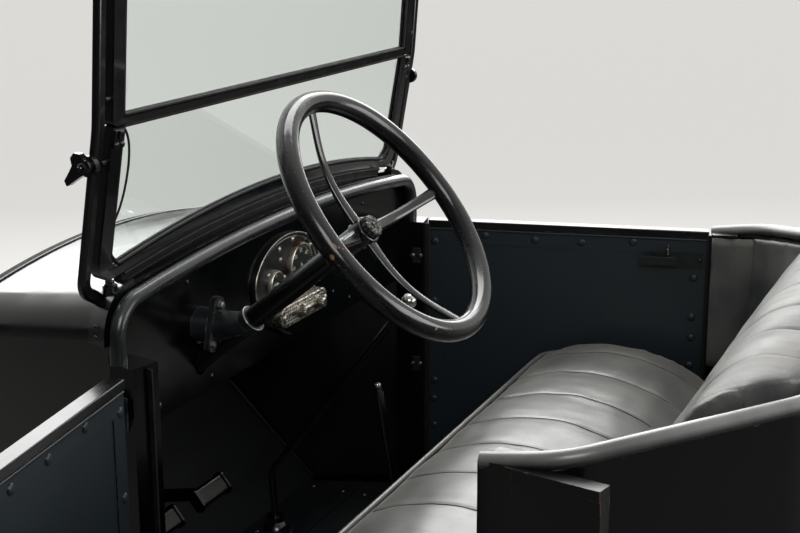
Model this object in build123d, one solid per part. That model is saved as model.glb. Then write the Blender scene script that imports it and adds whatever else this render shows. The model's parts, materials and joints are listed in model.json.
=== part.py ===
import math
import os

from build123d import *

# Front compartment of a touring car: scuttle, windscreen, steering, doors and bench seat.
# Millimetres and degrees. +X is the car's left, -Y is forward, +Z is up.
# The origin is on the underside of the sills, on the centre line, below the wheel's centre.

# Steering wheel and column
WHEEL_X = 289
WHEEL_Z = 870
WHEEL_DIAMETER = 432
RIM_RADIUS = 16.4
COLUMN_ANGLE = 38.83
HUB_DROP = 37
HUB_RADIUS = 22
HUB_LENGTH = 62
SPOKE_COUNT = 4
SPOKE_DISH = 16
# Spoke sections: share of the way to the rim, share of the hub's drop, width, thickness
SPOKE_SECTIONS = (
    (0.05, 1.0, 25, 13),
    (0.25, 1.0, 20, 12),
    (0.5, 0.87, 17, 10),
    (0.76, 0.49, 17, 9),
    (1.0, 0.02, 21, 8),
)
SHAFT_RADIUS = 11
SHAFT_CLEARANCE = 0.05
SHAFT_STUB = 28
STUB_RADIUS = 10
TUBE_RADIUS = 17.5
TUBE_BORE_RADIUS = 14
TUBE_LENGTH = 890
BUSH_LENGTH = 40
FACE_GAP = 0.3
COLUMN_HOLE_GAP = 3

# Plan of the body side: a straight line from the A-post to the B-post
SIDE_X = 545
SIDE_Y = -285
SIDE_TAPER = 11.8
DOOR_OPENING = 580
DOOR_GAP = 6
DOOR_THICKNESS = 24
DOOR_TOP = 670
DOOR_BOTTOM = 76
DOOR_RAIL_HEIGHT = 14
DOOR_RAIL_PROUD = 2.5
DOOR_FIELD_MARGIN = 34
DOOR_FIELD_DEPTH = 2
DOOR_OPEN_ANGLE = 69
POST_DEPTH = 52
B_POST_LENGTH = 48
SIDE_PANEL_LENGTH = 117
SIDE_PANEL_THICKNESS = 22

# Hinges, by height of their centres
HINGE_HEIGHTS = (130, 365, 600)
PIN_OUT = 14
PIN_FORWARD = 31
PIN_RADIUS = 4
BARREL_RADIUS = 8
BARREL_HEIGHT = 30
EAR_HEIGHT = 10
STRAP_THICKNESS = 5
STRAP_LENGTH = 90

# Sills and floor
SILL_HEIGHT = 68
SILL_WIDTH = 58
SILL_INSET = 2
SILL_LAP = 70
FLOOR_THICKNESS = 22
FLOOR_INSET = 46
PLANK_WIDTH = 118
PLANK_GAP = 2
FLOOR_FRONT_Y = -514
TOE_ANGLE = 53.6
TOE_THICKNESS = 18
CROSS_SILL_WIDTH = 60
BODY_BOLT_X = 300
BODY_BOLT_Y = 260
BODY_BOLT_RADIUS = 6.5
CROSS_SILL_CENTRES = (-672, -BODY_BOLT_Y, 0, BODY_BOLT_Y)
REAR_SILL_CENTRE = 520

# Scuttle: half width, crown height and shoulder height at its front and rear
SCUTTLE_FRONT_Y = -720
SCUTTLE_REAR_Y = -330
SCUTTLE_FRONT = (392, 722, 678, 62)
SCUTTLE_REAR = (535.6, 796, 763, 66)
SCUTTLE_SIDE = 24
SCUTTLE_TOP = 14
FIREWALL_THICKNESS = 20
BOARD_THICKNESS = 10
BOARD_BOTTOM = 545
EDGE_ROLL_RADIUS = 12.5

# Windscreen
SCREEN_Y = -360
SCREEN_Z = 798
SCREEN_RAKE = 10
UPPER_RAKE = 4.5
SCREEN_BAR = 216
UPPER_HEIGHT = 324
SCREEN_HALF = 492
FRAME_WIDTH = 26
FRAME_DEPTH = 17
FRAME_CORNER = 26
BAR_WIDTH = 10
LOWER_FRAME_WIDTH = 18
SILL_ARC_CENTRE = 25
SILL_ARC_END = -22
SEAL_HALF = 455
SEAL_HEIGHT = 34
SEAL_THICKNESS = 14
PANE_GAP = 1
GLASS_THICKNESS = 5
STANCHION_GAP = 13
STANCHION_WIDTH = 20
STANCHION_DEPTH = 13
STANCHION_BEND = 28
STANCHION_KNEE = 300
STANCHION_ELBOW = -22
STANCHION_EDGE = 5
FOOT_LENGTH = 38
FOOT_THICKNESS = 8
FOOT_BOTTOM = 696
FOOT_INNER = 462
FOOT_BOLT_X = 495
FOOT_BOLT_RADIUS = 11
FOOT_BOLT_TOP = 776
PIVOT_RADIUS = 6
PIVOT_INSET = 40
CLAMP_HEIGHT = 166
CLAMP_RADIUS = 15
CLAMP_LAYER = 9
# Clamp wing's outline, forward and up from the post's pivot
CLAMP_WING = (
    (-10, -6), (-4, 10), (4, 19), (13, 20), (19, 13), (17, 2),
    (23, -8), (31, -20), (27, -28), (18, -22), (4, -13),
)

# Instruments
PLATE_Z = 673
PLATE_HALF_WIDTH = 120
PLATE_HALF_HEIGHT = 75
PLATE_THICKNESS = 3
PLATE_RIM = 6
PLATE_RIM_HEIGHT = 7
DIAL_BEZEL = 4
DIAL_HEIGHT = 9
DIAL_RECESS = 4
SWITCH_X = -6
SWITCH_Z = 615
SWITCH_WIDTH = 175
SWITCH_HEIGHT = 38
SWITCH_DEPTH = 35
SWITCH_EDGE = 3

# Seat
BAY_SIDE_X = 655
BAY_START_Y = 285
BAY_CORNER_Y = 385
BAY_REAR_X = 422
BAY_REAR_Y = 655
BAY_CORNER_RADIUS = 110
BAY_REAR_RADIUS = 130
BAY_TILT = 8.5
BAY_ROLL_RADIUS = 12
BAY_ROLL_Z = 666
BAY_WALL = 14
BAY_RUN_IN = 200
TRIM_THICKNESS = 14
CUSHION_HALF = 540
CUSHION_FRONT_Y = -22
CUSHION_PIPING_Z = 412
CUSHION_CROWN_Z = 450
CUSHION_BOTTOM = 302
CUSHION_REAR_Y = 470
CUSHION_CROWN_Y = 90
CUSHION_CORNER = 45
BACK_INSET = 35
BACK_FOOT_Y = 335
BACK_FOOT_Z = 391
BACK_HEIGHT = 330
BACK_CROWN = (546, 738)
BACK_SWELL = (-12, 190)
BACK_LOW = 60
BACK_THICKNESS = 118
BACK_BOARD_THICKNESS = 15
BACK_LEAN = 27
RISER_THICKNESS = 18
RISER_FRONT_Y = 15
RISER_INSET = 50

# Column bracket on the board
BRACKET_PROUD = 38
BRACKET_RISE = 34
BRACKET_HALF_WIDTH = 38
BRACKET_HALF_HEIGHT = 42
SPACER_RADIUS = 28
RING_WALL = 3.5
RING_DEPTH = 311
RING_LENGTH = 15
BRACKET_FLANGE = 10
BRACKET_CORNER = 11
BRACKET_TOP_SHARE = 0.3

# Controls
PEDAL_PAD = (90, 36, 16)
PEDAL_SPACING = 150
PEDAL_X = 220
PEDAL_Y = -366
PEDAL_Z = 342
PEDAL_FACE_ANGLE = 52
PEDAL_FLANGE = 5
PEDAL_FOOT_Y = -600
PEDAL_ARM_RUN = 98
PEDAL_ARM = (12, 22)
PEDAL_BEND = 50
TOE_PLATE = (50, 90, 5)
GEAR_BASE_Y = -362
GEAR_BALL_RADIUS = 28
GEAR_ROD_RADIUS = 7
GEAR_KNOB_RADIUS = 14
GEAR_KNOB_Y = -93
GEAR_KNOB_Z = 651
GEAR_BEND = 45
LATCH_Z = 610
LATCH_SETBACK = 70
BRAKE_X = -75
BRAKE_Y = -131
BRAKE_TOP_Y = -186
BRAKE_TOP_Z = 452

# Half size of the blocks that cut a piece to a region
REACH = 1000


FLOOR_TOP = SILL_HEIGHT + FLOOR_THICKNESS
TUBE_TOP = HUB_DROP + HUB_LENGTH + FACE_GAP
TUBE_BOTTOM = TUBE_TOP + TUBE_LENGTH
BACK_HALF = CUSHION_HALF - BACK_INSET
SLOPE = math.tan(math.radians(SIDE_TAPER))
WHEEL = Plane(
    origin=(WHEEL_X, 0, WHEEL_Z),
    x_dir=(1, 0, 0),
    z_dir=(0, math.cos(math.radians(COLUMN_ANGLE)), math.sin(math.radians(COLUMN_ANGLE))),
)
SIDE = Location((SIDE_X, SIDE_Y, 0), (0, 0, -SIDE_TAPER))
SCREEN = Plane(
    origin=(0, SCREEN_Y, SCREEN_Z),
    x_dir=(1, 0, 0),
    z_dir=(0, -math.cos(math.radians(SCREEN_RAKE)), math.sin(math.radians(SCREEN_RAKE))),
)
UPPER = Plane(
    origin=SCREEN.from_local_coords((0, SCREEN_BAR, 0)),
    x_dir=(1, 0, 0),
    z_dir=(0, -math.cos(math.radians(UPPER_RAKE)), math.sin(math.radians(UPPER_RAKE))),
)
STANCHION_X = SCREEN_HALF + FRAME_WIDTH + STANCHION_GAP + STANCHION_WIDTH / 2


def block(x0, x1, y0, y1, z0, z1):
    """A box given by its lowest and highest corners."""
    centre = ((x0 + x1) / 2, (y0 + y1) / 2, (z0 + z1) / 2)
    return Pos(*centre) * Box(x1 - x0, y1 - y0, z1 - z0)


def prism(points, z0, z1):
    """A plan outline raised from z0 to z1."""
    return Pos(0, 0, z0) * extrude(make_face(Polyline(*points, close=True)), z1 - z0)


def across(points, x0, x1):
    """A side outline of (y, z) points drawn out across the car from x0 to x1."""
    outline = Plane.YZ * make_face(Polyline(*points, close=True))
    return Pos(x0, 0, 0) * extrude(outline, x1 - x0)


def rod(start, end, radius):
    """A round bar between two points."""
    span = Vector(*end) - Vector(*start)
    seat = Plane(origin=start, z_dir=span)
    return extrude(seat * Circle(radius), span.length)


def both(shape):
    """The piece and its mirror image on the other side of the car."""
    return solids_of(shape, mirror(shape, about=Plane.YZ))


def solids_of(*shapes):
    """The separate solids of several shapes as one node."""
    return Compound([solid for shape in shapes for solid in shape.solids()])


def without(shape, *tools):
    """Each solid of a node with the tools cut away."""
    for tool in tools:
        shape = solids_of(*[solid - tool for solid in shape.solids()])
    return shape


def side_x(y):
    """Outer half width of the body side at y."""
    return SIDE_X + (y - SIDE_Y) * SLOPE


def half_width(y):
    """Outer half width of the body at y, scuttle or side."""
    if y > SIDE_Y:
        return side_x(y)
    if y > SCUTTLE_REAR_Y:
        share = (y - SCUTTLE_REAR_Y) / (SIDE_Y - SCUTTLE_REAR_Y)
        return SCUTTLE_REAR[0] + share * (SIDE_X - SCUTTLE_REAR[0])
    return scuttle_size(y)[0]


def scuttle_size(y):
    """Half width, crown, shoulder and corner radius of the scuttle at y."""
    share = (y - SCUTTLE_FRONT_Y) / (SCUTTLE_REAR_Y - SCUTTLE_FRONT_Y)
    return [a + share * (b - a) for a, b in zip(SCUTTLE_FRONT, SCUTTLE_REAR)]


def scuttle_face(y, side_inset=0.0, top_inset=0.0, bottom=SILL_HEIGHT):
    """The scuttle's section at y: straight sides, round corners and an arched top."""
    wide, crown, shoulder, corner = scuttle_size(y)
    wide -= side_inset
    crown -= top_inset
    shoulder -= top_inset
    outline = [
        Line((wide, bottom), (wide, shoulder)),
        ThreePointArc((wide, shoulder), (0, crown), (-wide, shoulder)),
        Line((-wide, shoulder), (-wide, bottom)),
        Line((-wide, bottom), (wide, bottom)),
    ]
    face = make_face(outline)
    face = fillet(face.vertices().sort_by(Axis.Y)[-2:], corner - top_inset)
    return Plane(origin=(0, y, 0), x_dir=(1, 0, 0), z_dir=(0, -1, 0)) * face


def scuttle_body(y0, y1, side_inset=0.0, top_inset=0.0, bottom=SILL_HEIGHT):
    """The scuttle's solid form between two sections."""
    sections = [scuttle_face(y, side_inset, top_inset, bottom) for y in (y0, y1)]
    return loft(sections, ruled=True)


def scuttle_room():
    """The space inside the scuttle."""
    beyond = 20
    front = SCUTTLE_FRONT_Y - beyond
    rear = SCUTTLE_REAR_Y + beyond
    return scuttle_body(front, rear, SCUTTLE_SIDE, SCUTTLE_TOP, SILL_HEIGHT - beyond)


def column_rod(radius, top, bottom):
    """A round bar along the steering axis, between two depths below the rim."""
    return WHEEL * Pos(0, 0, -bottom) * extrude(Circle(radius), bottom - top)


def column_hole(clearance):
    """The column tube's path from its top to past the firewall, wider by a clearance."""
    return column_rod(TUBE_RADIUS + clearance, TUBE_TOP, TUBE_TOP + REACH)


# Scuttle, firewall and boards
def make_cowl():
    return scuttle_body(SCUTTLE_FRONT_Y, SCUTTLE_REAR_Y) - scuttle_room()


def make_cowl_roll():
    face = scuttle_face(SCUTTLE_REAR_Y, EDGE_ROLL_RADIUS / 2, EDGE_ROLL_RADIUS, DOOR_TOP)
    edges = [edge for edge in face.edges() if edge.center().Z > DOOR_TOP + 1]
    path = Pos(0, EDGE_ROLL_RADIUS, 0) * Wire(edges)
    start = Plane(origin=path @ 0, z_dir=path % 0)
    return sweep(start * Circle(EDGE_ROLL_RADIUS), path=path)


def make_firewall():
    rear = SCUTTLE_FRONT_Y + FIREWALL_THICKNESS
    slab = block(-REACH, REACH, SCUTTLE_FRONT_Y, rear, SILL_HEIGHT, REACH)
    return (slab & scuttle_room()) - column_hole(FACE_GAP)


def make_board():
    front = SCUTTLE_REAR_Y - BOARD_THICKNESS
    slab = block(-REACH, REACH, front, SCUTTLE_REAR_Y, BOARD_BOTTOM, REACH)
    return (slab & scuttle_room()) - column_hole(COLUMN_HOLE_GAP)


# Instruments on the face of the board
FACE = Plane(origin=(0, SCUTTLE_REAR_Y, 0), x_dir=(-1, 0, 0), z_dir=(0, 1, 0))

# Dials: x, height, radius
DIALS = ((-42, PLATE_Z + 8, 42), (50, PLATE_Z - 4, 24), (-98, PLATE_Z - 2, 10))


def on_face(x, z):
    """A place on the board's face; the face is seen from the rear, so x runs the other way."""
    return FACE * Pos(-x, z, 0)


def make_plate():
    base = on_face(0, PLATE_Z) * extrude(Ellipse(PLATE_HALF_WIDTH, PLATE_HALF_HEIGHT), PLATE_THICKNESS)
    ring = Ellipse(PLATE_HALF_WIDTH, PLATE_HALF_HEIGHT) - Ellipse(
        PLATE_HALF_WIDTH - PLATE_RIM, PLATE_HALF_HEIGHT - PLATE_RIM
    )
    return base + on_face(0, PLATE_Z) * extrude(ring, PLATE_RIM_HEIGHT)


def make_dials():
    dials = []
    for x, z, radius in DIALS:
        seat = on_face(x, z) * Pos(0, 0, PLATE_THICKNESS)
        recess = Pos(0, 0, DIAL_HEIGHT - DIAL_RECESS) * extrude(Circle(radius - DIAL_BEZEL), DIAL_RECESS)
        dials.append(seat * (extrude(Circle(radius), DIAL_HEIGHT) - recess))
    return solids_of(*dials)


def make_switch_box():
    box = extrude(RectangleRounded(SWITCH_WIDTH, SWITCH_HEIGHT, SWITCH_HEIGHT / 2 - 1), SWITCH_DEPTH)
    box = fillet(box.faces().sort_by(Axis.Z)[-1].edges(), SWITCH_EDGE)
    return on_face(SWITCH_X, SWITCH_Z) * box - make_plate()


def make_column_bracket():
    """A three-cornered flange on a spacer, with a horn that bends round to the clamp ring."""
    flange_y = SCUTTLE_REAR_Y + BRACKET_PROUD
    axis_z = WHEEL_Z + flange_y * math.tan(math.radians(COLUMN_ANGLE))
    centre_z = axis_z + BRACKET_RISE
    wide, high = BRACKET_HALF_WIDTH, BRACKET_HALF_HEIGHT
    top = wide * BRACKET_TOP_SHARE
    shield = make_face(Polyline((-wide, -high), (wide, -high), (top, high), (-top, high), close=True))
    shield = fillet(shield.vertices(), BRACKET_CORNER)
    standing = BRACKET_PROUD - BRACKET_FLANGE
    flange = on_face(WHEEL_X, centre_z) * Pos(0, 0, standing) * extrude(shield, BRACKET_FLANGE)
    flange = flange + on_face(WHEEL_X, centre_z - 6) * extrude(Circle(SPACER_RADIUS), standing)
    ring_radius = TUBE_RADIUS + RING_WALL
    horn = loft(
        [
            on_face(WHEEL_X, centre_z - 8) * Pos(0, 0, BRACKET_PROUD - 2) * Circle(SPACER_RADIUS - 1),
            WHEEL * Pos(0, 0, -RING_DEPTH) * Circle(ring_radius - 0.5),
        ]
    )
    ring = column_rod(ring_radius, RING_DEPTH - RING_LENGTH, RING_DEPTH)
    return (flange + horn + ring) - column_hole(0)


# Floor
def band_points(inset, y0, y1):
    """Plan corners of the body, set in from its outer line, from y0 to y1."""
    ys = [y0] + [y for y in (SCUTTLE_REAR_Y, SIDE_Y) if y0 < y < y1] + [y1]
    right = [(half_width(y) - inset, y) for y in ys]
    return right + [(-x, y) for x, y in reversed(right)]


SIDE_LENGTH = DOOR_OPENING + B_POST_LENGTH + SIDE_PANEL_LENGTH
SILL_REAR_Y = SIDE_Y + SIDE_LENGTH * math.cos(math.radians(SIDE_TAPER))


def make_sills():
    beyond = 20
    inset = SILL_INSET + SILL_WIDTH
    outer = prism(band_points(SILL_INSET, SCUTTLE_FRONT_Y, SILL_REAR_Y), 0, SILL_HEIGHT)
    inner = prism(band_points(inset, SCUTTLE_FRONT_Y - beyond, SILL_REAR_Y + beyond), 0, SILL_HEIGHT)
    return solids_of(outer - inner)


def make_cross_sills():
    room = prism(band_points(SILL_INSET + SILL_WIDTH, SCUTTLE_FRONT_Y, SILL_REAR_Y), 0, SILL_HEIGHT)
    half = CROSS_SILL_WIDTH / 2
    bars = []
    for y in CROSS_SILL_CENTRES:
        bars.append(block(-REACH, REACH, y - half, y + half, 0, SILL_HEIGHT) & room)
    holes = [
        Pos(x, y, 0) * extrude(Circle(BODY_BOLT_RADIUS), SILL_HEIGHT)
        for x in (-BODY_BOLT_X, BODY_BOLT_X)
        for y in (-BODY_BOLT_Y, BODY_BOLT_Y)
    ]
    return without(solids_of(*bars, make_bay_sill()), *holes)


def make_bay_sill():
    """The frame below the seat bay, bent as the bay is, with its own cross bar."""
    start_y = SILL_REAR_Y - SILL_LAP
    outer = bay_face(-BAY_WALL / 2)
    band = outer - bay_face(SILL_WIDTH)
    half = CROSS_SILL_WIDTH / 2
    ring = extrude(band, SILL_HEIGHT) & block(-REACH, REACH, start_y, REACH, 0, SILL_HEIGHT)
    bar = block(-REACH, REACH, REAR_SILL_CENTRE - half, REAR_SILL_CENTRE + half, 0, SILL_HEIGHT)
    return (ring + (bar & extrude(outer, SILL_HEIGHT))) - make_sills()


def make_floor_boards():
    planks = []
    y = FLOOR_FRONT_Y
    region = prism(band_points(FLOOR_INSET, FLOOR_FRONT_Y, SILL_REAR_Y), SILL_HEIGHT, FLOOR_TOP)
    while y < 0:
        plank = block(-REACH, REACH, y, y + PLANK_WIDTH, SILL_HEIGHT, FLOOR_TOP)
        planks.append(plank & region)
        y += PLANK_WIDTH + PLANK_GAP
    seat_floor = block(-REACH, REACH, y, SILL_REAR_Y, SILL_HEIGHT, FLOOR_TOP) & region
    bay_floor = extrude(Pos(0, 0, SILL_HEIGHT) * bay_face(-BAY_WALL / 2), FLOOR_THICKNESS)
    behind = block(-REACH, REACH, SILL_REAR_Y - SILL_LAP / 2, REACH, SILL_HEIGHT, FLOOR_TOP)
    planks.append(seat_floor + (bay_floor & behind))
    return without(solids_of(*planks), make_a_posts(), make_b_posts(), make_side_panels())


TOE_END_Y = SCUTTLE_FRONT_Y + FIREWALL_THICKNESS


def toe_height(y):
    """Height of the toe board's upper face at y."""
    return FLOOR_TOP + (FLOOR_FRONT_Y - y) * math.tan(math.radians(TOE_ANGLE))


def make_toe_board():
    drop = TOE_THICKNESS / math.cos(math.radians(TOE_ANGLE))
    foot_y = FLOOR_FRONT_Y - (drop - FLOOR_THICKNESS) / math.tan(math.radians(TOE_ANGLE))
    outline = [
        (TOE_END_Y, toe_height(TOE_END_Y)),
        (FLOOR_FRONT_Y, FLOOR_TOP),
        (FLOOR_FRONT_Y, SILL_HEIGHT),
        (foot_y, SILL_HEIGHT),
        (TOE_END_Y, toe_height(TOE_END_Y) - drop),
    ]
    return (across(outline, -REACH, REACH) & scuttle_room()) - column_hole(COLUMN_HOLE_GAP)


# Posts and side panels
def make_a_posts():
    inner = (SIDE * Pos(-POST_DEPTH, 0, 0)).position
    points = [
        (half_width(SCUTTLE_REAR_Y), SCUTTLE_REAR_Y),
        (SIDE_X, SIDE_Y),
        (inner.X, inner.Y),
        (half_width(SCUTTLE_REAR_Y) - POST_DEPTH, SCUTTLE_REAR_Y),
    ]
    return both(prism(points, SILL_HEIGHT, DOOR_TOP))


def make_b_posts():
    post = block(-POST_DEPTH, 0, DOOR_OPENING, DOOR_OPENING + B_POST_LENGTH, SILL_HEIGHT, DOOR_TOP)
    return without(both(SIDE * post), bay_roll_solid())


def make_side_panels():
    start = DOOR_OPENING + B_POST_LENGTH
    rail_z = DOOR_TOP - DOOR_RAIL_HEIGHT
    panel = block(-SIDE_PANEL_THICKNESS, 0, start, SIDE_LENGTH, SILL_HEIGHT, rail_z)
    rail = block(-SIDE_PANEL_THICKNESS, DOOR_RAIL_PROUD, start, SIDE_LENGTH, rail_z, DOOR_TOP)
    return without(both(SIDE * (panel + rail)), bay_roll_solid(), bay_wall_solid())


# Doors and hinges, drawn closed in the side's own frame
def door_field():
    """The shallow field pressed into the door's inner face."""
    inner = -DOOR_THICKNESS
    margin = DOOR_GAP + DOOR_FIELD_MARGIN
    low = DOOR_BOTTOM + DOOR_FIELD_MARGIN
    high = DOOR_TOP - DOOR_RAIL_HEIGHT - DOOR_FIELD_MARGIN
    return block(inner, inner + DOOR_FIELD_DEPTH, margin, DOOR_OPENING - margin, low, high)


def make_door_panel():
    top = DOOR_TOP - DOOR_RAIL_HEIGHT
    panel = block(-DOOR_THICKNESS, 0, DOOR_GAP, DOOR_OPENING - DOOR_GAP, DOOR_BOTTOM, top)
    return panel - door_field()


def make_door_rail():
    inner = -DOOR_THICKNESS - DOOR_RAIL_PROUD
    low = DOOR_TOP - DOOR_RAIL_HEIGHT
    rail = block(inner, DOOR_RAIL_PROUD, DOOR_GAP, DOOR_OPENING - DOOR_GAP, low, DOOR_TOP)
    return fillet(rail.edges().filter_by(Axis.Y).sort_by(Axis.Z)[-2:], DOOR_RAIL_PROUD)


def make_door_latch():
    """The inside lock plate with its spindle and lever, seated on the door's inner face."""
    y, z = DOOR_OPENING - DOOR_GAP - LATCH_SETBACK, LATCH_Z
    inner = -DOOR_THICKNESS
    boss = rod((inner - 3, y, z), (inner - 16, y, z), 9)
    lever = block(inner - 22, inner - 16, y - 62, y + 9, z - 8, z + 8)
    plate = block(inner - 3, inner + DOOR_FIELD_DEPTH, y - 45, y + 60, z - 16, z + 16)
    return (plate - make_door_panel()) + boss + lever


def make_door_straps():
    straps = []
    bore_radius = PIN_RADIUS + SHAFT_CLEARANCE
    for z in HINGE_HEIGHTS:
        low = z - BARREL_HEIGHT / 2
        leaf = block(0, STRAP_THICKNESS, DOOR_GAP + 2, DOOR_GAP + STRAP_LENGTH, low, low + BARREL_HEIGHT)
        arm = prism(
            [
                (1.5, DOOR_GAP + 2),
                (STRAP_THICKNESS, DOOR_GAP + 14),
                (PIN_OUT + BARREL_RADIUS, -PIN_FORWARD),
                (PIN_OUT, -PIN_FORWARD),
                (PIN_OUT - BARREL_RADIUS + 1, -PIN_FORWARD + 4),
            ],
            low,
            low + BARREL_HEIGHT,
        )
        barrel = Pos(PIN_OUT, -PIN_FORWARD, low) * extrude(Circle(BARREL_RADIUS), BARREL_HEIGHT)
        bore = Pos(PIN_OUT, -PIN_FORWARD, low) * extrude(Circle(bore_radius), BARREL_HEIGHT)
        straps.append(leaf + arm + barrel - bore)
    return solids_of(*straps)


def make_hinge_brackets():
    brackets = []
    for z in HINGE_HEIGHTS:
        low = z - BARREL_HEIGHT / 2 - FACE_GAP
        high = z + BARREL_HEIGHT / 2 + FACE_GAP
        pieces = block(-2, 2.5, -PIN_FORWARD - 8, -12, low - EAR_HEIGHT, high + EAR_HEIGHT)
        for base in (low - EAR_HEIGHT, high):
            lug = block(-2, PIN_OUT, -PIN_FORWARD - 6, -PIN_FORWARD + 6, base, base + EAR_HEIGHT)
            eye = Pos(PIN_OUT, -PIN_FORWARD, base) * extrude(Circle(BARREL_RADIUS), EAR_HEIGHT)
            pieces = pieces + lug + eye
        pin = Pos(PIN_OUT, -PIN_FORWARD, low) * extrude(Circle(PIN_RADIUS), high - low)
        brackets.append(pieces + pin)
    skin = make_a_posts() + make_cowl()
    return without(both(SIDE * solids_of(*brackets)), skin)


def swung(shape):
    """A closed door's piece, swung to the open door's place about its hinge pin."""
    pin = Pos(PIN_OUT, -PIN_FORWARD, 0)
    return solids_of(SIDE * (pin * Rot(0, 0, -DOOR_OPEN_ANGLE) * pin.inverse() * shape))


def closed_right(shape):
    """A closed door's piece on the right side of the car."""
    return solids_of(mirror(SIDE * shape, about=Plane.YZ))


# Seat bay: a horseshoe wall behind the bench with a roll along its top
BAY_SLOPE = math.tan(math.radians(BAY_TILT))
BAY_TOP = Plane(
    origin=(0, BAY_START_Y, BAY_ROLL_Z),
    x_dir=(1, 0, 0),
    z_dir=(0, -math.sin(math.radians(BAY_TILT)), math.cos(math.radians(BAY_TILT))),
)


def bay_face(inset):
    """Plan of the seat bay inside its wall's middle line, set in by inset."""
    front_y = BAY_START_Y - BAY_RUN_IN
    points = [
        (BAY_SIDE_X, front_y),
        (BAY_SIDE_X, BAY_CORNER_Y),
        (BAY_REAR_X, BAY_REAR_Y),
        (-BAY_REAR_X, BAY_REAR_Y),
        (-BAY_SIDE_X, BAY_CORNER_Y),
        (-BAY_SIDE_X, front_y),
    ]
    face = make_face(Polyline(*points, close=True))
    corners = face.vertices().sort_by(Axis.Y)
    face = fillet(corners[2:4], BAY_CORNER_RADIUS)
    face = fillet(face.vertices().sort_by(Axis.Y)[-2:], BAY_REAR_RADIUS)
    if inset == 0:
        return face
    return offset(face, -inset)


def bay_roll_solid():
    """The roll on top of the bay's wall, bent in a plane that rises to the rear."""
    stretch = 1 / math.cos(math.radians(BAY_TILT))
    points = [
        (BAY_SIDE_X, 0),
        (BAY_SIDE_X, (BAY_CORNER_Y - BAY_START_Y) * stretch),
        (BAY_REAR_X, (BAY_REAR_Y - BAY_START_Y) * stretch),
        (-BAY_REAR_X, (BAY_REAR_Y - BAY_START_Y) * stretch),
        (-BAY_SIDE_X, (BAY_CORNER_Y - BAY_START_Y) * stretch),
        (-BAY_SIDE_X, 0),
    ]
    radii = [BAY_CORNER_RADIUS, BAY_REAR_RADIUS, BAY_REAR_RADIUS, BAY_CORNER_RADIUS]
    path = BAY_TOP * FilletPolyline(*points, radius=radii)
    start = Plane(origin=path @ 0, z_dir=path % 0)
    return sweep(start * Circle(BAY_ROLL_RADIUS), path=path)


def bay_space(y0, y1, below):
    """Room under the roll's plane, lowered by below, between y0 and y1."""
    outline = [
        (y0, FLOOR_TOP),
        (y1, FLOOR_TOP),
        (y1, BAY_ROLL_Z + (y1 - BAY_START_Y) * BAY_SLOPE - below),
        (y0, BAY_ROLL_Z + (y0 - BAY_START_Y) * BAY_SLOPE - below),
    ]
    return across(outline, -REACH, REACH)


B_REAR_Y = SIDE_Y + (DOOR_OPENING + B_POST_LENGTH) * math.cos(math.radians(SIDE_TAPER)) + 12


def bay_wall_solid():
    band = bay_face(-BAY_WALL / 2) - bay_face(BAY_WALL / 2)
    wall = extrude(Pos(0, 0, FLOOR_TOP) * band, REACH)
    return (wall & bay_space(B_REAR_Y, REACH, 0)) - bay_roll_solid()


def make_side_trims():
    outer = BAY_WALL / 2
    band = bay_face(outer) - bay_face(outer + TRIM_THICKNESS)
    trim = extrude(Pos(0, 0, FLOOR_TOP) * band, REACH)
    trim = trim & bay_space(B_REAR_Y, BAY_CORNER_Y + 115, TRIM_THICKNESS)
    return solids_of(trim & block(-REACH, REACH, 0, REACH, CUSHION_BOTTOM, REACH))


# Seat
def make_seat_riser():
    front_y = RISER_FRONT_Y
    rear_y = CUSHION_REAR_Y - 22
    half = CUSHION_HALF - RISER_INSET
    front = block(-half, half, front_y, front_y + RISER_THICKNESS, FLOOR_TOP, CUSHION_BOTTOM)
    rear = block(-half, half, rear_y - RISER_THICKNESS, rear_y, FLOOR_TOP, CUSHION_BOTTOM)
    left = block(half - RISER_THICKNESS, half, front_y, rear_y, FLOOR_TOP, CUSHION_BOTTOM)
    right = block(-half, -half + RISER_THICKNESS, front_y, rear_y, FLOOR_TOP, CUSHION_BOTTOM)
    return (front + rear + left + right) & block(-REACH, REACH, 0, SILL_REAR_Y, 0, REACH)


def back_line(distance, up):
    """A (y, z) point: distance behind the back cushion's front face, up along its lean."""
    lean = math.radians(BACK_LEAN)
    y = BACK_FOOT_Y + distance * math.cos(lean) + up * math.sin(lean)
    z = BACK_FOOT_Z - distance * math.sin(lean) + up * math.cos(lean)
    return y, z


def make_seat_cushion():
    front_foot = (CUSHION_FRONT_Y + 10, CUSHION_BOTTOM)
    front_top = (CUSHION_FRONT_Y, CUSHION_PIPING_Z)
    rear_top = back_line(0, -6)
    tail = back_line(BACK_THICKNESS * 0.7, -6)
    rear_foot = (CUSHION_REAR_Y - 60, CUSHION_BOTTOM)
    outline = make_face(
        [
            Line(front_foot, front_top),
            ThreePointArc(front_top, (CUSHION_CROWN_Y, CUSHION_CROWN_Z), rear_top),
            Line(rear_top, tail),
            Line(tail, rear_foot),
            Line(rear_foot, front_foot),
        ]
    )
    cushion = extrude(Pos(-CUSHION_HALF, 0, 0) * (Plane.YZ * outline), 2 * CUSHION_HALF)
    corners = cushion.edges().filter_by(Axis.Z, tolerance=8).sort_by(Axis.Y)[:2]
    return fillet(corners, CUSHION_CORNER)


BACK_TOP_REAR = (BAY_REAR_Y - 27, BAY_ROLL_Z + 64)
BACK_SHOULDER = (BAY_REAR_Y - 27, BAY_ROLL_Z - 30)


def bay_room(clearance):
    """The space inside the bay's wall, less a clearance."""
    return extrude(Pos(0, 0, FLOOR_TOP) * bay_face(BAY_WALL / 2 + clearance), REACH)


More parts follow.
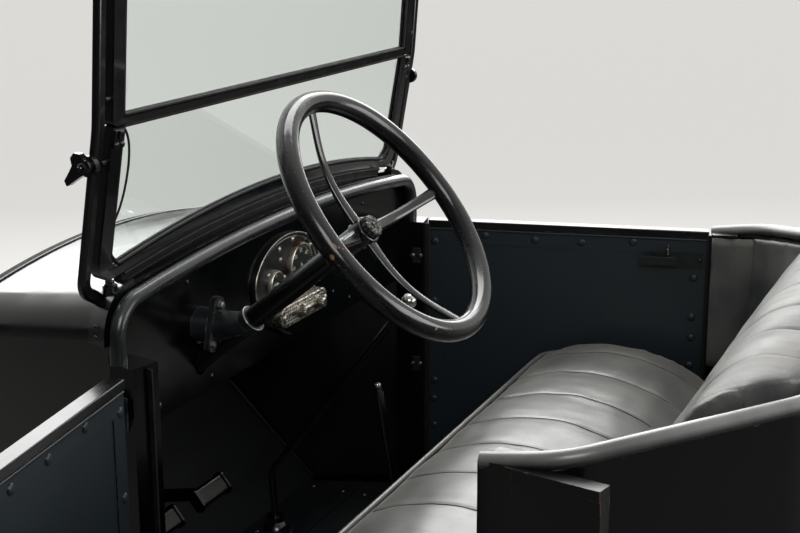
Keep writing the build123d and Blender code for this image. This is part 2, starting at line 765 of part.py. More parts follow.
def make_back_cushion():
    front_foot = back_line(8, 0)
    rear_foot = back_line(BACK_THICKNESS, 0)
    low = back_line(0, BACK_LOW)
    high = back_line(0, BACK_HEIGHT)
    outline = make_face(
        [
            Line(front_foot, low),
            ThreePointArc(low, back_line(*BACK_SWELL), high),
            ThreePointArc(high, BACK_CROWN, BACK_TOP_REAR),
            Line(BACK_TOP_REAR, BACK_SHOULDER),
            Line(BACK_SHOULDER, rear_foot),
            Line(rear_foot, front_foot),
        ]
    )
    cushion = extrude(Pos(-BACK_HALF, 0, 0) * (Plane.YZ * outline), 2 * BACK_HALF)
    return cushion & bay_room(20)


def make_back_board():
    foot = back_line(BACK_THICKNESS, -60)
    shift = BACK_BOARD_THICKNESS + 4
    outline = [
        (foot[0], foot[1]),
        back_line(BACK_THICKNESS, 0),
        BACK_SHOULDER,
        (BACK_SHOULDER[0] + shift, BACK_SHOULDER[1]),
        (foot[0] + shift, foot[1]),
    ]
    board = across(outline, -BACK_HALF, BACK_HALF) & bay_room(TRIM_THICKNESS + FACE_GAP)
    return board & block(-REACH, REACH, 0, REACH, CUSHION_BOTTOM, REACH)


# Windscreen, drawn on the screen's own planes: x across and v up the glass
def screen_solid(face, depth, plane=SCREEN):
    """A face on a screen plane, thickened evenly about the middle of the glass."""
    return extrude(plane * Pos(0, 0, -depth / 2) * face, depth)


def arch_face(half, low_end, low_centre, top):
    """An outline with an arched lower edge."""
    outline = [
        Line((half, low_end), (half, top)),
        Line((half, top), (-half, top)),
        Line((-half, top), (-half, low_end)),
        ThreePointArc((-half, low_end), (0, low_centre), (half, low_end)),
    ]
    return make_face(outline)


def lower_glass_face():
    end = SILL_ARC_END + LOWER_FRAME_WIDTH
    centre = SILL_ARC_CENTRE + LOWER_FRAME_WIDTH
    face = arch_face(SCREEN_HALF, end, centre, SCREEN_BAR)
    return fillet(face.vertices().sort_by(Axis.Y)[:2], FRAME_CORNER)


def make_lower_frame():
    outer = arch_face(SCREEN_HALF + FRAME_WIDTH, SILL_ARC_END, SILL_ARC_CENTRE, SCREEN_BAR)
    outer = fillet(outer.vertices().sort_by(Axis.Y)[:2], FRAME_CORNER + 4)
    return screen_solid(outer - lower_glass_face(), FRAME_DEPTH)


def upper_faces():
    height = UPPER_HEIGHT - PANE_GAP
    wide = 2 * (SCREEN_HALF + FRAME_WIDTH)
    outer = Pos(0, PANE_GAP + height / 2) * RectangleRounded(wide, height, BAR_WIDTH - 1)
    inner_height = height - BAR_WIDTH - FRAME_WIDTH
    inner = Pos(0, PANE_GAP + BAR_WIDTH + inner_height / 2) * Rectangle(2 * SCREEN_HALF, inner_height)
    return outer, inner


def make_upper_frame():
    outer, inner = upper_faces()
    return screen_solid(outer - inner, FRAME_DEPTH, UPPER)


def make_panes():
    lower = screen_solid(lower_glass_face(), GLASS_THICKNESS)
    upper = screen_solid(upper_faces()[1], GLASS_THICKNESS, UPPER)
    return solids_of(lower, upper)


def make_weather_strip():
    """The seal that fills the gap between the lower frame and the scuttle."""
    half = SCREEN_HALF + FRAME_WIDTH
    end, middle = SILL_ARC_END - SEAL_HEIGHT, SILL_ARC_CENTRE - SEAL_HEIGHT
    strip = make_face(
        [
            ThreePointArc((-half, SILL_ARC_END), (0, SILL_ARC_CENTRE), (half, SILL_ARC_END)),
            Line((half, SILL_ARC_END), (half, end)),
            ThreePointArc((half, end), (0, middle), (-half, end)),
            Line((-half, end), (-half, SILL_ARC_END)),
        ]
    )
    keep = block(-SEAL_HALF, SEAL_HALF, -REACH, 0, 0, REACH)
    strip = screen_solid(strip, SEAL_THICKNESS) & keep
    return solids_of(strip - scuttle_body(SCUTTLE_FRONT_Y, SCUTTLE_REAR_Y) - make_lower_frame())


FOOT_REAR_Y = SCUTTLE_REAR_Y - 1


def make_stanchion_foot():
    """A strap bent over the scuttle's shoulder, with its bolt boss."""
    front_y = FOOT_REAR_Y - FOOT_LENGTH
    over = scuttle_body(front_y, FOOT_REAR_Y, -FOOT_THICKNESS, -FOOT_THICKNESS)
    strap = over & block(FOOT_INNER, REACH, front_y, FOOT_REAR_Y, FOOT_BOTTOM, REACH)
    boss_seat = Pos(FOOT_BOLT_X, (front_y + FOOT_REAR_Y) / 2, DOOR_TOP)
    return strap + boss_seat * extrude(Circle(FOOT_BOLT_RADIUS), FOOT_BOLT_TOP - DOOR_TOP)


def make_stanchions():
    """The bent windscreen posts on their feet."""
    foot_x = scuttle_size(SCREEN_Y)[0]
    points = [
        UPPER.from_local_coords((STANCHION_X, UPPER_HEIGHT, 0)),
        SCREEN.from_local_coords((STANCHION_X, SCREEN_BAR, 0)),
        SCREEN.from_local_coords((STANCHION_X, STANCHION_ELBOW, 0)),
        SCREEN.from_local_coords((foot_x - SCUTTLE_SIDE, 2 * STANCHION_ELBOW, 0)),
    ]
    path = FilletPolyline(*points, radius=[STANCHION_KNEE, STANCHION_BEND])
    section = Plane(origin=path @ 0, x_dir=(1, 0, 0), z_dir=path % 0)
    bar = sweep(section * RectangleRounded(STANCHION_WIDTH, STANCHION_DEPTH, STANCHION_EDGE), path=path)
    post = (bar + make_stanchion_foot()) - scuttle_body(SCUTTLE_FRONT_Y, SCUTTLE_REAR_Y)
    keep = post.solids().sort_by(SortBy.VOLUME)[-1]
    return both(keep - make_weather_strip() - make_lower_frame())


def make_pane_pivots():
    start = SCREEN_HALF + FRAME_WIDTH
    pivots = []
    for plane, v in ((SCREEN, CLAMP_HEIGHT), (UPPER, PIVOT_INSET), (UPPER, UPPER_HEIGHT - PIVOT_INSET)):
        seat = plane * Pos(start, v, 0) * Rot(0, 90, 0)
        pivots.append(seat * extrude(Circle(PIVOT_RADIUS), STANCHION_GAP))
    return both(solids_of(*pivots))


def make_clamp_knobs():
    """A boss on the post's outer side with a two-armed wing lever."""
    post_side = STANCHION_X + STANCHION_WIDTH / 2
    seat = SCREEN * Pos(post_side, CLAMP_HEIGHT, 0) * Rot(0, 90, 0)
    boss = seat * extrude(Circle(CLAMP_RADIUS), CLAMP_LAYER)
    nut = seat * Pos(0, 0, CLAMP_LAYER) * extrude(Circle(CLAMP_RADIUS - 4), CLAMP_LAYER)
    wing = fillet(make_face(Polyline(*CLAMP_WING, close=True)).vertices(), 2)
    wing_origin = SCREEN.from_local_coords((post_side + CLAMP_LAYER, CLAMP_HEIGHT, 0))
    wing_plane = Plane(origin=wing_origin, x_dir=(0, -1, 0), z_dir=(-1, 0, 0))
    return both(boss + nut + extrude(wing_plane * wing, -CLAMP_LAYER - 2))


# Steering
def make_rim():
    return WHEEL * Torus(WHEEL_DIAMETER / 2 - RIM_RADIUS, RIM_RADIUS)


def spoke_section(distance, depth_below, width, depth):
    """A spoke's oval section at a distance from the hub's axis."""
    seat = Plane(origin=(distance, 0, -depth_below), x_dir=(0, 1, 0), z_dir=(1, 0, 0))
    return seat * Ellipse(width / 2, depth / 2)


def make_spider():
    top = HUB_DROP + 4
    bottom = HUB_DROP + HUB_LENGTH
    hub = Pos(0, 0, -bottom) * extrude(Circle(HUB_RADIUS - 3), bottom - top)
    collar = Pos(0, 0, -top - 24) * extrude(Circle(HUB_RADIUS), 24)
    spider = hub + fillet(collar.edges(), 3)
    reach = WHEEL_DIAMETER / 2 - RIM_RADIUS
    dish = HUB_DROP + SPOKE_DISH
    for number in range(SPOKE_COUNT):
        turn = number * 360 / SPOKE_COUNT
        spoke = loft(
            [
                spoke_section(along * reach, drop * dish, width, thickness)
                for along, drop, width, thickness in SPOKE_SECTIONS
            ]
        )
        spider = spider + Rot(0, 0, turn) * spoke
    bore = Pos(0, 0, -bottom) * extrude(Circle(SHAFT_RADIUS), HUB_LENGTH - 20)
    return (WHEEL * (spider - bore)) - make_rim()


def make_horn_button():
    base = Pos(0, 0, -HUB_DROP - 4) * extrude(Circle(17), 6)
    cap = Pos(0, 0, -HUB_DROP + 2) * extrude(Circle(16), 7)
    return WHEEL * (base + fillet(cap.edges().sort_by(Axis.Z)[-1:], 5))


def make_shaft():
    shaft = column_rod(SHAFT_RADIUS, HUB_DROP + 20, TUBE_BOTTOM)
    return shaft + column_rod(STUB_RADIUS, TUBE_BOTTOM, TUBE_BOTTOM + SHAFT_STUB)


def make_column_tube():
    tube = column_rod(TUBE_RADIUS, TUBE_TOP, TUBE_BOTTOM)
    tube = tube - column_rod(TUBE_BORE_RADIUS, TUBE_TOP + BUSH_LENGTH, TUBE_BOTTOM - BUSH_LENGTH)
    return tube - column_rod(SHAFT_RADIUS + SHAFT_CLEARANCE, TUBE_TOP - 5, TUBE_BOTTOM + 5)


# Controls
def make_pedals():
    """Rubber-faced pads on cranked arms that come up through the toe board."""
    length, height, depth = PEDAL_PAD
    pad = fillet(Box(*PEDAL_PAD).edges().filter_by(Axis.X), depth / 2 - 1)
    flange = RectangleRounded(height + PEDAL_FLANGE, depth + PEDAL_FLANGE, depth / 2)
    flange = Rot(0, 90, 0) * Rot(0, 0, 90) * extrude(flange, PEDAL_FLANGE - 1)
    pad = pad + Pos(-length / 2, 0, 0) * flange + Pos(length / 2 - PEDAL_FLANGE + 1, 0, 0) * flange
    lean = math.radians(TOE_ANGLE)
    top_y, top_z = PEDAL_Y - 6, PEDAL_Z - 5
    foot_z = toe_height(PEDAL_FOOT_Y)
    rear, front = -REACH / 2, -REACH
    under_board = [(front, 0), (front, toe_height(front)), (rear, toe_height(rear)), (rear, 0)]
    pedals = []
    for x in (PEDAL_X, PEDAL_X + PEDAL_SPACING):
        bend = (x, top_y - PEDAL_ARM_RUN, top_z - PEDAL_ARM_RUN / 5)
        path = FilletPolyline((x, top_y, top_z), bend, (x, PEDAL_FOOT_Y, foot_z - 4), radius=PEDAL_BEND)
        section = Plane(origin=path @ 0, x_dir=(1, 0, 0), z_dir=path % 0)
        arm = sweep(section * RectangleRounded(*PEDAL_ARM, 4), path=path)
        plate = Plane(
            origin=(x, PEDAL_FOOT_Y, foot_z), x_dir=(1, 0, 0), z_dir=(0, math.sin(lean), math.cos(lean))
        )
        cover = extrude(plate * RectangleRounded(TOE_PLATE[0], TOE_PLATE[1], 8), TOE_PLATE[2])
        place = Pos(x, PEDAL_Y, PEDAL_Z) * Rot(-PEDAL_FACE_ANGLE, 0, 0)
        pedals.append((place * pad + arm + cover) - across(under_board, 0, REACH))
    return solids_of(*pedals)


GEAR_COLLAR_Z = FLOOR_TOP + 108


def make_gear_lever():
    """Gate, tower and ball under a bent rod."""
    gate = Pos(0, GEAR_BASE_Y, FLOOR_TOP) * extrude(Circle(46), 12)
    tower = Pos(0, GEAR_BASE_Y, FLOOR_TOP + 12) * extrude(Circle(32), 66, taper=9)
    ball = Pos(0, GEAR_BASE_Y, GEAR_COLLAR_Z - 20) * Sphere(GEAR_BALL_RADIUS)
    collar = Pos(0, GEAR_BASE_Y, GEAR_COLLAR_Z) * extrude(Circle(17), 12)
    start = (0, GEAR_BASE_Y, GEAR_COLLAR_Z + 4)
    bend = (0, GEAR_BASE_Y - 7, GEAR_COLLAR_Z + 98)
    path = FilletPolyline(start, bend, (0, GEAR_KNOB_Y, GEAR_KNOB_Z), radius=GEAR_BEND)
    start = Plane(origin=path @ 0, z_dir=path % 0)
    lever = sweep(start * Circle(GEAR_ROD_RADIUS), path=path)
    return gate + tower + ball + collar + lever - make_gear_knob()


def make_gear_knob():
    return Pos(0, GEAR_KNOB_Y, GEAR_KNOB_Z) * Sphere(GEAR_KNOB_RADIUS)


def make_hand_brake():
    """Quadrant on the floor, flat lever and a round grip with a release button."""
    foot = block(BRAKE_X - 20, BRAKE_X + 20, BRAKE_Y - 60, BRAKE_Y + 60, FLOOR_TOP, FLOOR_TOP + 10)
    outline = [
        (BRAKE_Y - 50, FLOOR_TOP + 5),
        (BRAKE_Y + 50, FLOOR_TOP + 5),
        (BRAKE_Y + 24, FLOOR_TOP + 100),
        (BRAKE_Y, FLOOR_TOP + 112),
        (BRAKE_Y - 24, FLOOR_TOP + 100),
    ]
    quadrant = across(outline, BRAKE_X - 6, BRAKE_X + 6)
    lean = (BRAKE_TOP_Y - BRAKE_Y) / (BRAKE_TOP_Z - FLOOR_TOP - 40)
    grip_z = BRAKE_TOP_Z - 110
    grip_y = BRAKE_TOP_Y - lean * 110
    lever = rod((BRAKE_X, BRAKE_Y, FLOOR_TOP + 40), (BRAKE_X, grip_y, grip_z), 8)
    grip = rod((BRAKE_X, grip_y, grip_z), (BRAKE_X, BRAKE_TOP_Y, BRAKE_TOP_Z), 10)
    button = rod((BRAKE_X, BRAKE_TOP_Y, BRAKE_TOP_Z), (BRAKE_X, BRAKE_TOP_Y + lean * 8, BRAKE_TOP_Z + 8), 7)
    return foot + quadrant + lever + grip + button


def make_parts():
    """Every sub-part by its node's name."""
    door_pieces = {
        "panel": make_door_panel(),
        "rail": make_door_rail(),
        "latch": make_door_latch(),
        "straps": make_door_straps(),
    }
    parts = {
        "cowl": make_cowl(),
        "cowl_roll": make_cowl_roll(),
        "firewall": make_firewall(),
        "instrument_board": make_board(),
        "instrument_plate": make_plate(),
        "dials": make_dials(),
        "switch_box": make_switch_box(),
        "column_bracket": make_column_bracket(),
        "sills": make_sills(),
        "cross_sills": make_cross_sills(),
        "floor_boards": make_floor_boards(),
        "toe_board": make_toe_board(),
        "a_posts": make_a_posts(),
        "b_posts": make_b_posts(),
        "side_panels": make_side_panels(),
        "hinge_brackets": make_hinge_brackets(),
        "seat_bay": bay_wall_solid(),
        "seat_bay_roll": bay_roll_solid(),
        "side_trims": make_side_trims(),
        "seat_frame": make_seat_riser() + make_back_board(),
        "seat_cushion": make_seat_cushion(),
        "back_cushion": make_back_cushion(),
        "stanchions": make_stanchions(),
        "lower_frame": make_lower_frame(),
        "upper_frame": make_upper_frame(),
        "panes": make_panes(),
        "weather_strip": make_weather_strip(),
        "pane_fittings": solids_of(make_pane_pivots(), make_clamp_knobs()),
        "column_tube": make_column_tube(),
        "pedals": make_pedals(),
        "gear_lever": make_gear_lever(),
        "gear_knob": make_gear_knob(),
        "hand_brake": make_hand_brake(),
        "wheel_rim": make_rim(),
        "wheel_spider": make_spider(),
        "horn_button": make_horn_button(),
        "steering_shaft": make_shaft(),
    }
    for name, piece in door_pieces.items():
        parts["left_door_" + name] = swung(piece)
        parts["right_door_" + name] = closed_right(piece)
    return parts


os.makedirs("parts", exist_ok=True)
for node, shape in make_parts().items():
    export_step(shape, f"parts/{node}.step")
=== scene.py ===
# %% [markdown]
# # A touring car's front compartment
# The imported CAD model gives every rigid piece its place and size. This notebook adds what CAD leaves out:
# real finishes, upholstery, trim, fasteners and instruments, then a floor, light and a camera.
# All lengths in the tables are millimetres, and MM turns them into Blender's metres.

import json
import math

import bmesh
import bpy
import numpy as np
from mathutils import Matrix, Vector, noise
from mathutils.bvhtree import BVHTree


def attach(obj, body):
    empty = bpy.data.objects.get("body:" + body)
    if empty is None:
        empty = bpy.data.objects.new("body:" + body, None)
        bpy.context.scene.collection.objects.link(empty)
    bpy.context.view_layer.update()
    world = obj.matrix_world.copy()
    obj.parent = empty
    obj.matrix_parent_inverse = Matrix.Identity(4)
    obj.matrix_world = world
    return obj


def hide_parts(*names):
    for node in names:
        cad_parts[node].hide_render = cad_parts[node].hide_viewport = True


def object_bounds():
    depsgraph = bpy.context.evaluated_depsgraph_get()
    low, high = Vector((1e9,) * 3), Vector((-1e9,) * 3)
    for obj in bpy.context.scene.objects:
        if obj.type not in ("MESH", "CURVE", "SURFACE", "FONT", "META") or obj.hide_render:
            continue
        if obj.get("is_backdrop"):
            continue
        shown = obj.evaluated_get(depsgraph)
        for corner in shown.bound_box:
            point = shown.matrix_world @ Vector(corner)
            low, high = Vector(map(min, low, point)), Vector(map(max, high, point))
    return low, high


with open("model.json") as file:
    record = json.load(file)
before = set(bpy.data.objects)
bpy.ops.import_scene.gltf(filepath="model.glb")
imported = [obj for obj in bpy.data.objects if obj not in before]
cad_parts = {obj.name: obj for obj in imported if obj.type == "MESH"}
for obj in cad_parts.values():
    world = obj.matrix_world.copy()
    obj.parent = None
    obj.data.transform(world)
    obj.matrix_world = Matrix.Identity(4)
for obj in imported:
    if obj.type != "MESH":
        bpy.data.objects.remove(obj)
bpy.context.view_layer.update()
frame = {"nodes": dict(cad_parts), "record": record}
nodes = frame["nodes"]
MM = 0.001
print("loaded", len(nodes), "nodes")


# %% Scene helpers
def linked(name, data):
    """A new object in the scene that holds the data."""
    made = bpy.data.objects.new(name, data)
    bpy.context.scene.collection.objects.link(made)
    return made


def mesh_of(holder):
    """The mesh of an object as its modifiers or its bevel leave it."""
    return bpy.data.meshes.new_from_object(holder.evaluated_get(bpy.context.evaluated_depsgraph_get()))


def kept_mesh(holder, name):
    """The same mesh under a name, while the object itself goes."""
    mesh = mesh_of(holder)
    bpy.data.objects.remove(holder)
    mesh.name = name
    return mesh


def shown(name, mesh, material, body):
    """An object that shows a smooth mesh in one material and moves with a body."""
    mesh.shade_smooth()
    mesh.materials.clear()
    mesh.materials.append(material)
    made = linked(name, mesh)
    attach(made, body)
    return made


# %% [markdown]
# ## Camera
# A camera can be placed by eye or solved from the picture. Here the wheel's ellipse, the mirrored posts and
# the hinges gave its place, its direction and a focal length of 1447 px on an image 800 px wide.

# %% Place the camera
CAMERA_PLACE = (2.175, 0.848, 1.323)
CAMERA_AZIMUTH = 113.757
CAMERA_ELEVATION = 14.456
CAMERA_ROLL = -0.153
FOCAL_PIXELS = 1447
IMAGE_WIDTH = 800
SENSOR_WIDTH = 36

azimuth, elevation = math.radians(CAMERA_AZIMUTH), math.radians(CAMERA_ELEVATION)
back = Vector((
    math.sin(azimuth) * math.cos(elevation),
    -math.cos(azimuth) * math.cos(elevation),
    math.sin(elevation),
))
camera = linked("camera", bpy.data.cameras.new("camera"))
roll = Matrix.Rotation(math.radians(CAMERA_ROLL), 4, "Z")
aim_camera = (-back).to_track_quat("-Z", "Y").to_matrix().to_4x4()
camera.matrix_world = Matrix.Translation(CAMERA_PLACE) @ aim_camera @ roll
camera.data.sensor_width = SENSOR_WIDTH
camera.data.lens = FOCAL_PIXELS * SENSOR_WIDTH / IMAGE_WIDTH
camera.data.clip_end = 400
bpy.context.scene.camera = camera
print("lens", round(camera.data.lens, 2), "mm")

# %% [markdown]
# ## Colours and nodes
# Colours are written as the hex values that a paint chart or an image editor shows. Blender mixes light in
# linear values, so one function turns them. A second function adds any node with its settings and links, and
# two short ones add the kinds that come up most.

# %% Colour and node helpers
def linear(code):
    """An sRGB hex colour as linear red, green, blue and alpha."""
    channels = [int(code[i:i + 2], 16) / 255 for i in (1, 3, 5)]
    return tuple(c / 12.92 if c <= 0.04045 else ((c + 0.055) / 1.055) ** 2.4 for c in channels) + (1.0,)


def add(tree, kind, sockets=None, **settings):
    """A node of a kind, with its settings, and values or links for its sockets."""
    made = tree.nodes.new("ShaderNode" + kind)
    for key, value in settings.items():
        setattr(made, key, value)
    for key, value in (sockets or {}).items():
        if isinstance(value, bpy.types.NodeSocket):
            tree.links.new(value, made.inputs[key])
        else:
            made.inputs[key].default_value = value
    return made


def ranged(tree, value, low, high, to_low=0.0, to_high=1.0, curve="LINEAR"):
    """A value carried from the range low to high into another range, and held at its ends."""
    sockets = {0: value, 1: low, 2: high, 3: to_low, 4: to_high}
    return add(tree, "MapRange", sockets, interpolation_type=curve).outputs[0]


def maths(tree, operation, one, two, clamp=False):
    """Two values added, multiplied or compared."""
    return add(tree, "Math", {0: one, 1: two}, operation=operation, use_clamp=clamp).outputs[0]


def empty_tree(owner):
    """The node tree of a material or a world, emptied."""
    owner.use_nodes = True
    owner.node_tree.nodes.clear()
    return owner.node_tree


# %% [markdown]
# ## Stage
# The studio is a pale floor and a pale room. Black enamel shows what stands round it, so the room is
# brightest over and beyond the car and darker behind the camera, as with a lit backdrop. Camera and mirror
# rays see the backdrop at its own colour, while the light that falls on the car stays at a plain level.

# %% Room
FLOOR_COLOUR = "#6E6D6B"
BACKDROP_COLOUR = "#ECEBE8"
ROOM_LIGHT = 0.2
BACKDROP_LEVEL = 0.95
DARK_SIDE_LEVEL = 0.07
CEILING_EXTRA = 0.3
FLOOR_GLOW = 0.79

world = bpy.data.worlds.new("room")
bpy.context.scene.world = world
tree = empty_tree(world)
split = add(tree, "SeparateXYZ", {0: add(tree, "TexCoord").outputs["Generated"]}).outputs
beyond = ranged(tree, split["X"], 0.6, -0.5, DARK_SIDE_LEVEL, BACKDROP_LEVEL, "SMOOTHSTEP")
above = ranged(tree, split["Z"], 0.2, 0.9, 0.0, CEILING_EXTRA, "SMOOTHSTEP")
mirrored_room = maths(tree, "ADD", beyond, above, clamp=True)
path = add(tree, "LightPath").outputs
seen = maths(tree, "MAXIMUM", path["Is Camera Ray"], path["Is Transmission Ray"])
steady = ranged(tree, seen, 0.0, 1.0, ROOM_LIGHT, BACKDROP_LEVEL)
level = add(tree, "Mix", {0: path["Is Glossy Ray"], 2: steady, 3: mirrored_room})
light = add(tree, "Background", {"Color": linear(BACKDROP_COLOUR), "Strength": level.outputs[0]})
add(tree, "OutputWorld", {"Surface": light.outputs[0]})
print("room of", len(tree.nodes), "nodes")

# %% Floor and lamps
FLOOR_HALF = 80
floor_mesh = bpy.data.meshes.new("floor")
floor_corners = [(sx * FLOOR_HALF, sy * FLOOR_HALF, 0) for sx, sy in ((-1, -1), (1, -1), (1, 1), (-1, 1))]
floor_mesh.from_pydata(floor_corners, [], [(0, 1, 2, 3)])
floor = linked("floor", floor_mesh)
floor.location.z = -MM
floor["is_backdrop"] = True
# Matt paper: no gloss, so that it shows only the car's soft shadow
paper = bpy.data.materials.new("matt_paper")
tree = empty_tree(paper)
base = add(tree, "BsdfPrincipled", {
    "Base Color": linear(FLOOR_COLOUR), "Roughness": 0.95, "Specular IOR Level": 0.1,
})
path = add(tree, "LightPath").outputs
seen = maths(tree, "MAXIMUM", path["Is Camera Ray"], path["Is Transmission Ray"])
glow_level = maths(tree, "MULTIPLY", seen, FLOOR_GLOW)
glow = add(tree, "Emission", {"Color": linear(BACKDROP_COLOUR), "Strength": glow_level})
both_lights = add(tree, "AddShader", {0: base.outputs[0], 1: glow.outputs[0]})
add(tree, "OutputMaterial", {"Surface": both_lights.outputs[0]})
floor_mesh.materials.append(paper)

# Soft boxes: place, the point each looks at, width and height in metres, power in watts
LAMPS = {
    "overhead": ((-1.2, -0.8, 2.9), (0.4, 0.3, 0.6), 2.2, 1.8, 66),
    "front": ((-0.4, -2.6, 2.4), (0.2, -0.2, 0.6), 1.8, 1.0, 24),
    "beyond": ((-2.6, -1.5, 2.0), (0.2, 0.0, 0.5), 4.2, 2.0, 108),
    "rear": ((-0.8, 3.0, 1.15), (0.1, 0.0, 0.8), 2.6, 1.5, 52),
    "fill": ((2.6, 1.6, 2.6), (0.0, -0.1, 0.5), 1.4, 1.4, 32),
}
for name, (place, target, width, height, power) in LAMPS.items():
    lamp = bpy.data.lights.new(name, "AREA")
    lamp.shape = "RECTANGLE"
    lamp.size = width
    lamp.size_y = height
    lamp.energy = power
    holder = linked(name, lamp)
    holder.location = place
    holder.rotation_euler = (Vector(target) - Vector(place)).to_track_quat("-Z", "Y").to_euler()
    holder.visible_transmission = False
bpy.context.scene.view_settings.view_transform = "Standard"
print("stage with", len(LAMPS), "lamps")

# %% [markdown]
# ## A finish in general
# Nearly every old finish has the same three layers: two close tones in patches, a gloss that changes from
# place to place, and a fine grain that breaks the highlights. One function lays these down from real sizes.
# What is special to a finish, such as worn edges or leather's cells, is added to it afterwards.

# %% The common layers
PATCH_EDGES = (0.35, 0.65)
SMEAR_EDGES = (0.3, 0.7)
SMEAR_SHARE = 0.6


def noise_of(tree, point, size, detail=3.0, stretch=(1, 1, 1)):
    """A noise value whose patches are about size millimetres across."""
    spread = add(tree, "Mapping", {"Vector": point, "Scale": stretch}).outputs[0]
    sockets = {"Vector": spread, "Scale": 1 / (size * MM), "Detail": detail}
    return add(tree, "TexNoise", sockets).outputs["Fac"]


def finish(name, tones, patch, gloss, grain, depth, metallic=0.0, ior=1.5, coat=0.0, coat_gloss=0.05,
           stretch=(1, 1, 1)):
    """A material with two tones in patches, roughness from gloss[0] to gloss[1], and a fine grain."""
    material = bpy.data.materials.new(name)
    tree = empty_tree(material)
    point = add(tree, "TexCoord").outputs["Object"]
    spread = ranged(tree, noise_of(tree, point, patch, stretch=stretch), *PATCH_EDGES)
    colour = add(tree, "Mix", {0: spread, 6: linear(tones[0]), 7: linear(tones[1])}, data_type="RGBA")
    smears = noise_of(tree, point, patch * SMEAR_SHARE, detail=6.0, stretch=stretch)
    rough = ranged(tree, smears, *SMEAR_EDGES, *gloss)
    grains = noise_of(tree, point, grain, stretch=stretch)
    bump = add(tree, "Bump", {"Height": grains, "Distance": depth * MM, "Strength": 1.0})
    shader = add(tree, "BsdfPrincipled", {
        "Base Color": colour.outputs[2], "Roughness": rough, "Normal": bump.outputs[0],
        "Metallic": metallic, "IOR": ior, "Coat Weight": coat, "Coat Roughness": coat_gloss,
    })
    add(tree, "OutputMaterial", {"Surface": shader.outputs[0]})
    return material


def parts_of(material):
    """The tree, shader, object coordinates and bump of a material made by finish."""
    tree = material.node_tree
    kinds = {n.bl_idname: n for n in tree.nodes}
    point = kinds["ShaderNodeTexCoord"].outputs["Object"]
    return tree, kinds["ShaderNodeBsdfPrincipled"], point, kinds["ShaderNodeBump"]


def over(material, mask, colour, roughness):
    """Lays a second colour and roughness over a finish where the mask is 1."""
    tree, shader, point, bump = parts_of(material)
    colour_socket, rough_socket = shader.inputs["Base Color"], shader.inputs["Roughness"]
    under = colour_socket.links[0].from_socket
    mixed = add(tree, "Mix", {0: mask, 6: under, 7: linear(colour)}, data_type="RGBA")
    tree.links.new(mixed.outputs[2], colour_socket)
    under = rough_socket.links[0].from_socket
    mixed = add(tree, "Mix", {0: mask, 2: under, 3: roughness})
    tree.links.new(mixed.outputs[0], rough_socket)


# %% [markdown]
# ## The finishes
# Each one is named for the real thing. The comments say how the surface was made and what that gives
# the eye.

# %% Painted and lacquered surfaces
# Brushed and rubbed black coach enamel: deep black, a slight haze from age, soft waves in the reflections
coach_enamel = finish("coach_enamel", ("#040506", "#08090B"), 260, (0.1, 0.26), 60, 0.25)
# Rolled edges that sleeves and hands have rubbed: the same black, greyed, with a broad highlight
roll_enamel = finish(
    "roll_enamel", ("#101214", "#202326"), 45, (0.24, 0.42), 8, 0.12, coat=0.4, coat_gloss=0.12)
# The same on the seat bay's roll, where every arm has lain: greyed by rubbing, and painted lighter still on
# top as a painted highlight
rubbed_roll = finish(
    "rubbed_roll", ("#1B1D20", "#2C2E31"), 45, (0.3, 0.46), 8, 0.12, coat=0.6, coat_gloss=0.2)
# The same enamel on inner panels, which got fewer coats and no polish: a dull blue-black
panel_enamel = finish("panel_enamel", ("#070A0C", "#0C1013"), 180, (0.14, 0.3), 40, 0.25)
# One smooth coat on the board, the bulkhead, the posts and the pedals: a black with a tight, faint gloss
board_enamel = finish("board_enamel", ("#020303", "#050606"), 120, (0.14, 0.26), 30, 0.2, ior=1.42)
# Baked gloss enamel on rolled frame sections: crisp highlights, only a trace of dust
frame_enamel = finish("frame_enamel", ("#050607", "#0B0C0D"), 90, (0.14, 0.3), 4, 0.06, coat=0.4)
# Satin enamel on pressed instrument panels: broad, dull highlights with a cold tint
instrument_enamel = finish("instrument_enamel", ("#070909", "#0E1111"), 40, (0.32, 0.5), 2, 0.06)
# Black lacquer on the rim's bent wood, polished by hands: high gloss with long soft highlights
rim_lacquer = finish(
    "rim_lacquer", ("#090A0C", "#111213"), 70, (0.13, 0.3), 9, 0.1, coat=0.2, coat_gloss=0.06)
# Black paint on sand-cast iron, painted a blue-grey lighter than black as a painted reflection of the sky:
# the mould's grain, 1.5 mm across, shows through
cast_iron = finish("painted_cast_iron", ("#14171A", "#23272B"), 25, (0.26, 0.46), 1.5, 0.25)
# Paint worn by shoes on pine boards: matt, greyed by dust in the traffic lines
floor_paint = finish(
    "worn_floor_paint", ("#05070A", "#0B0E12"), 120, (0.45, 0.7), 6, 0.3, ior=1.42, stretch=(0.2, 1, 1))
# Dark stained ash: fibres 3 mm apart, drawn twenty times longer than wide
stained_ash = finish(
    "stained_ash", ("#2A1D12", "#4A3320"), 3, (0.5, 0.7), 1.2, 0.3, stretch=(0.05, 1, 1))

# %% Metals, rubber, webbing and dial cards
# Nickel plate gone dull: warm grey, cloudy gloss, pits a millimetre across
nickel = finish("aged_nickel", ("#96928A", "#C9C5BC"), 14, (0.22, 0.42), 1.5, 0.25, metallic=1.0)
# Nickel on a rough die casting, lifting in places: dark and bright specks 4.5 mm across
pitted_nickel = finish("pitted_nickel", ("#25231F", "#D2CDC1"), 4.5, (0.25, 0.6), 3, 0.8, metallic=1.0)
# Bare steel kept bright by use: fine rub marks and grey patches
steel = finish("worn_steel", ("#6B6965", "#94928D"), 18, (0.3, 0.5), 1.2, 0.08, metallic=1.0)
# Steel that a hand polishes every day: clear highlights with a few dark pits
polished_steel = finish("polished_steel", ("#9C9A96", "#D6D4CF"), 7, (0.08, 0.24), 2.5, 0.2, metallic=1.0)
# Pressed steel blackened in oil: dull grey-black
black_steel = finish("blackened_steel", ("#0F1112", "#1B1D1F"), 15, (0.34, 0.5), 2, 0.1)
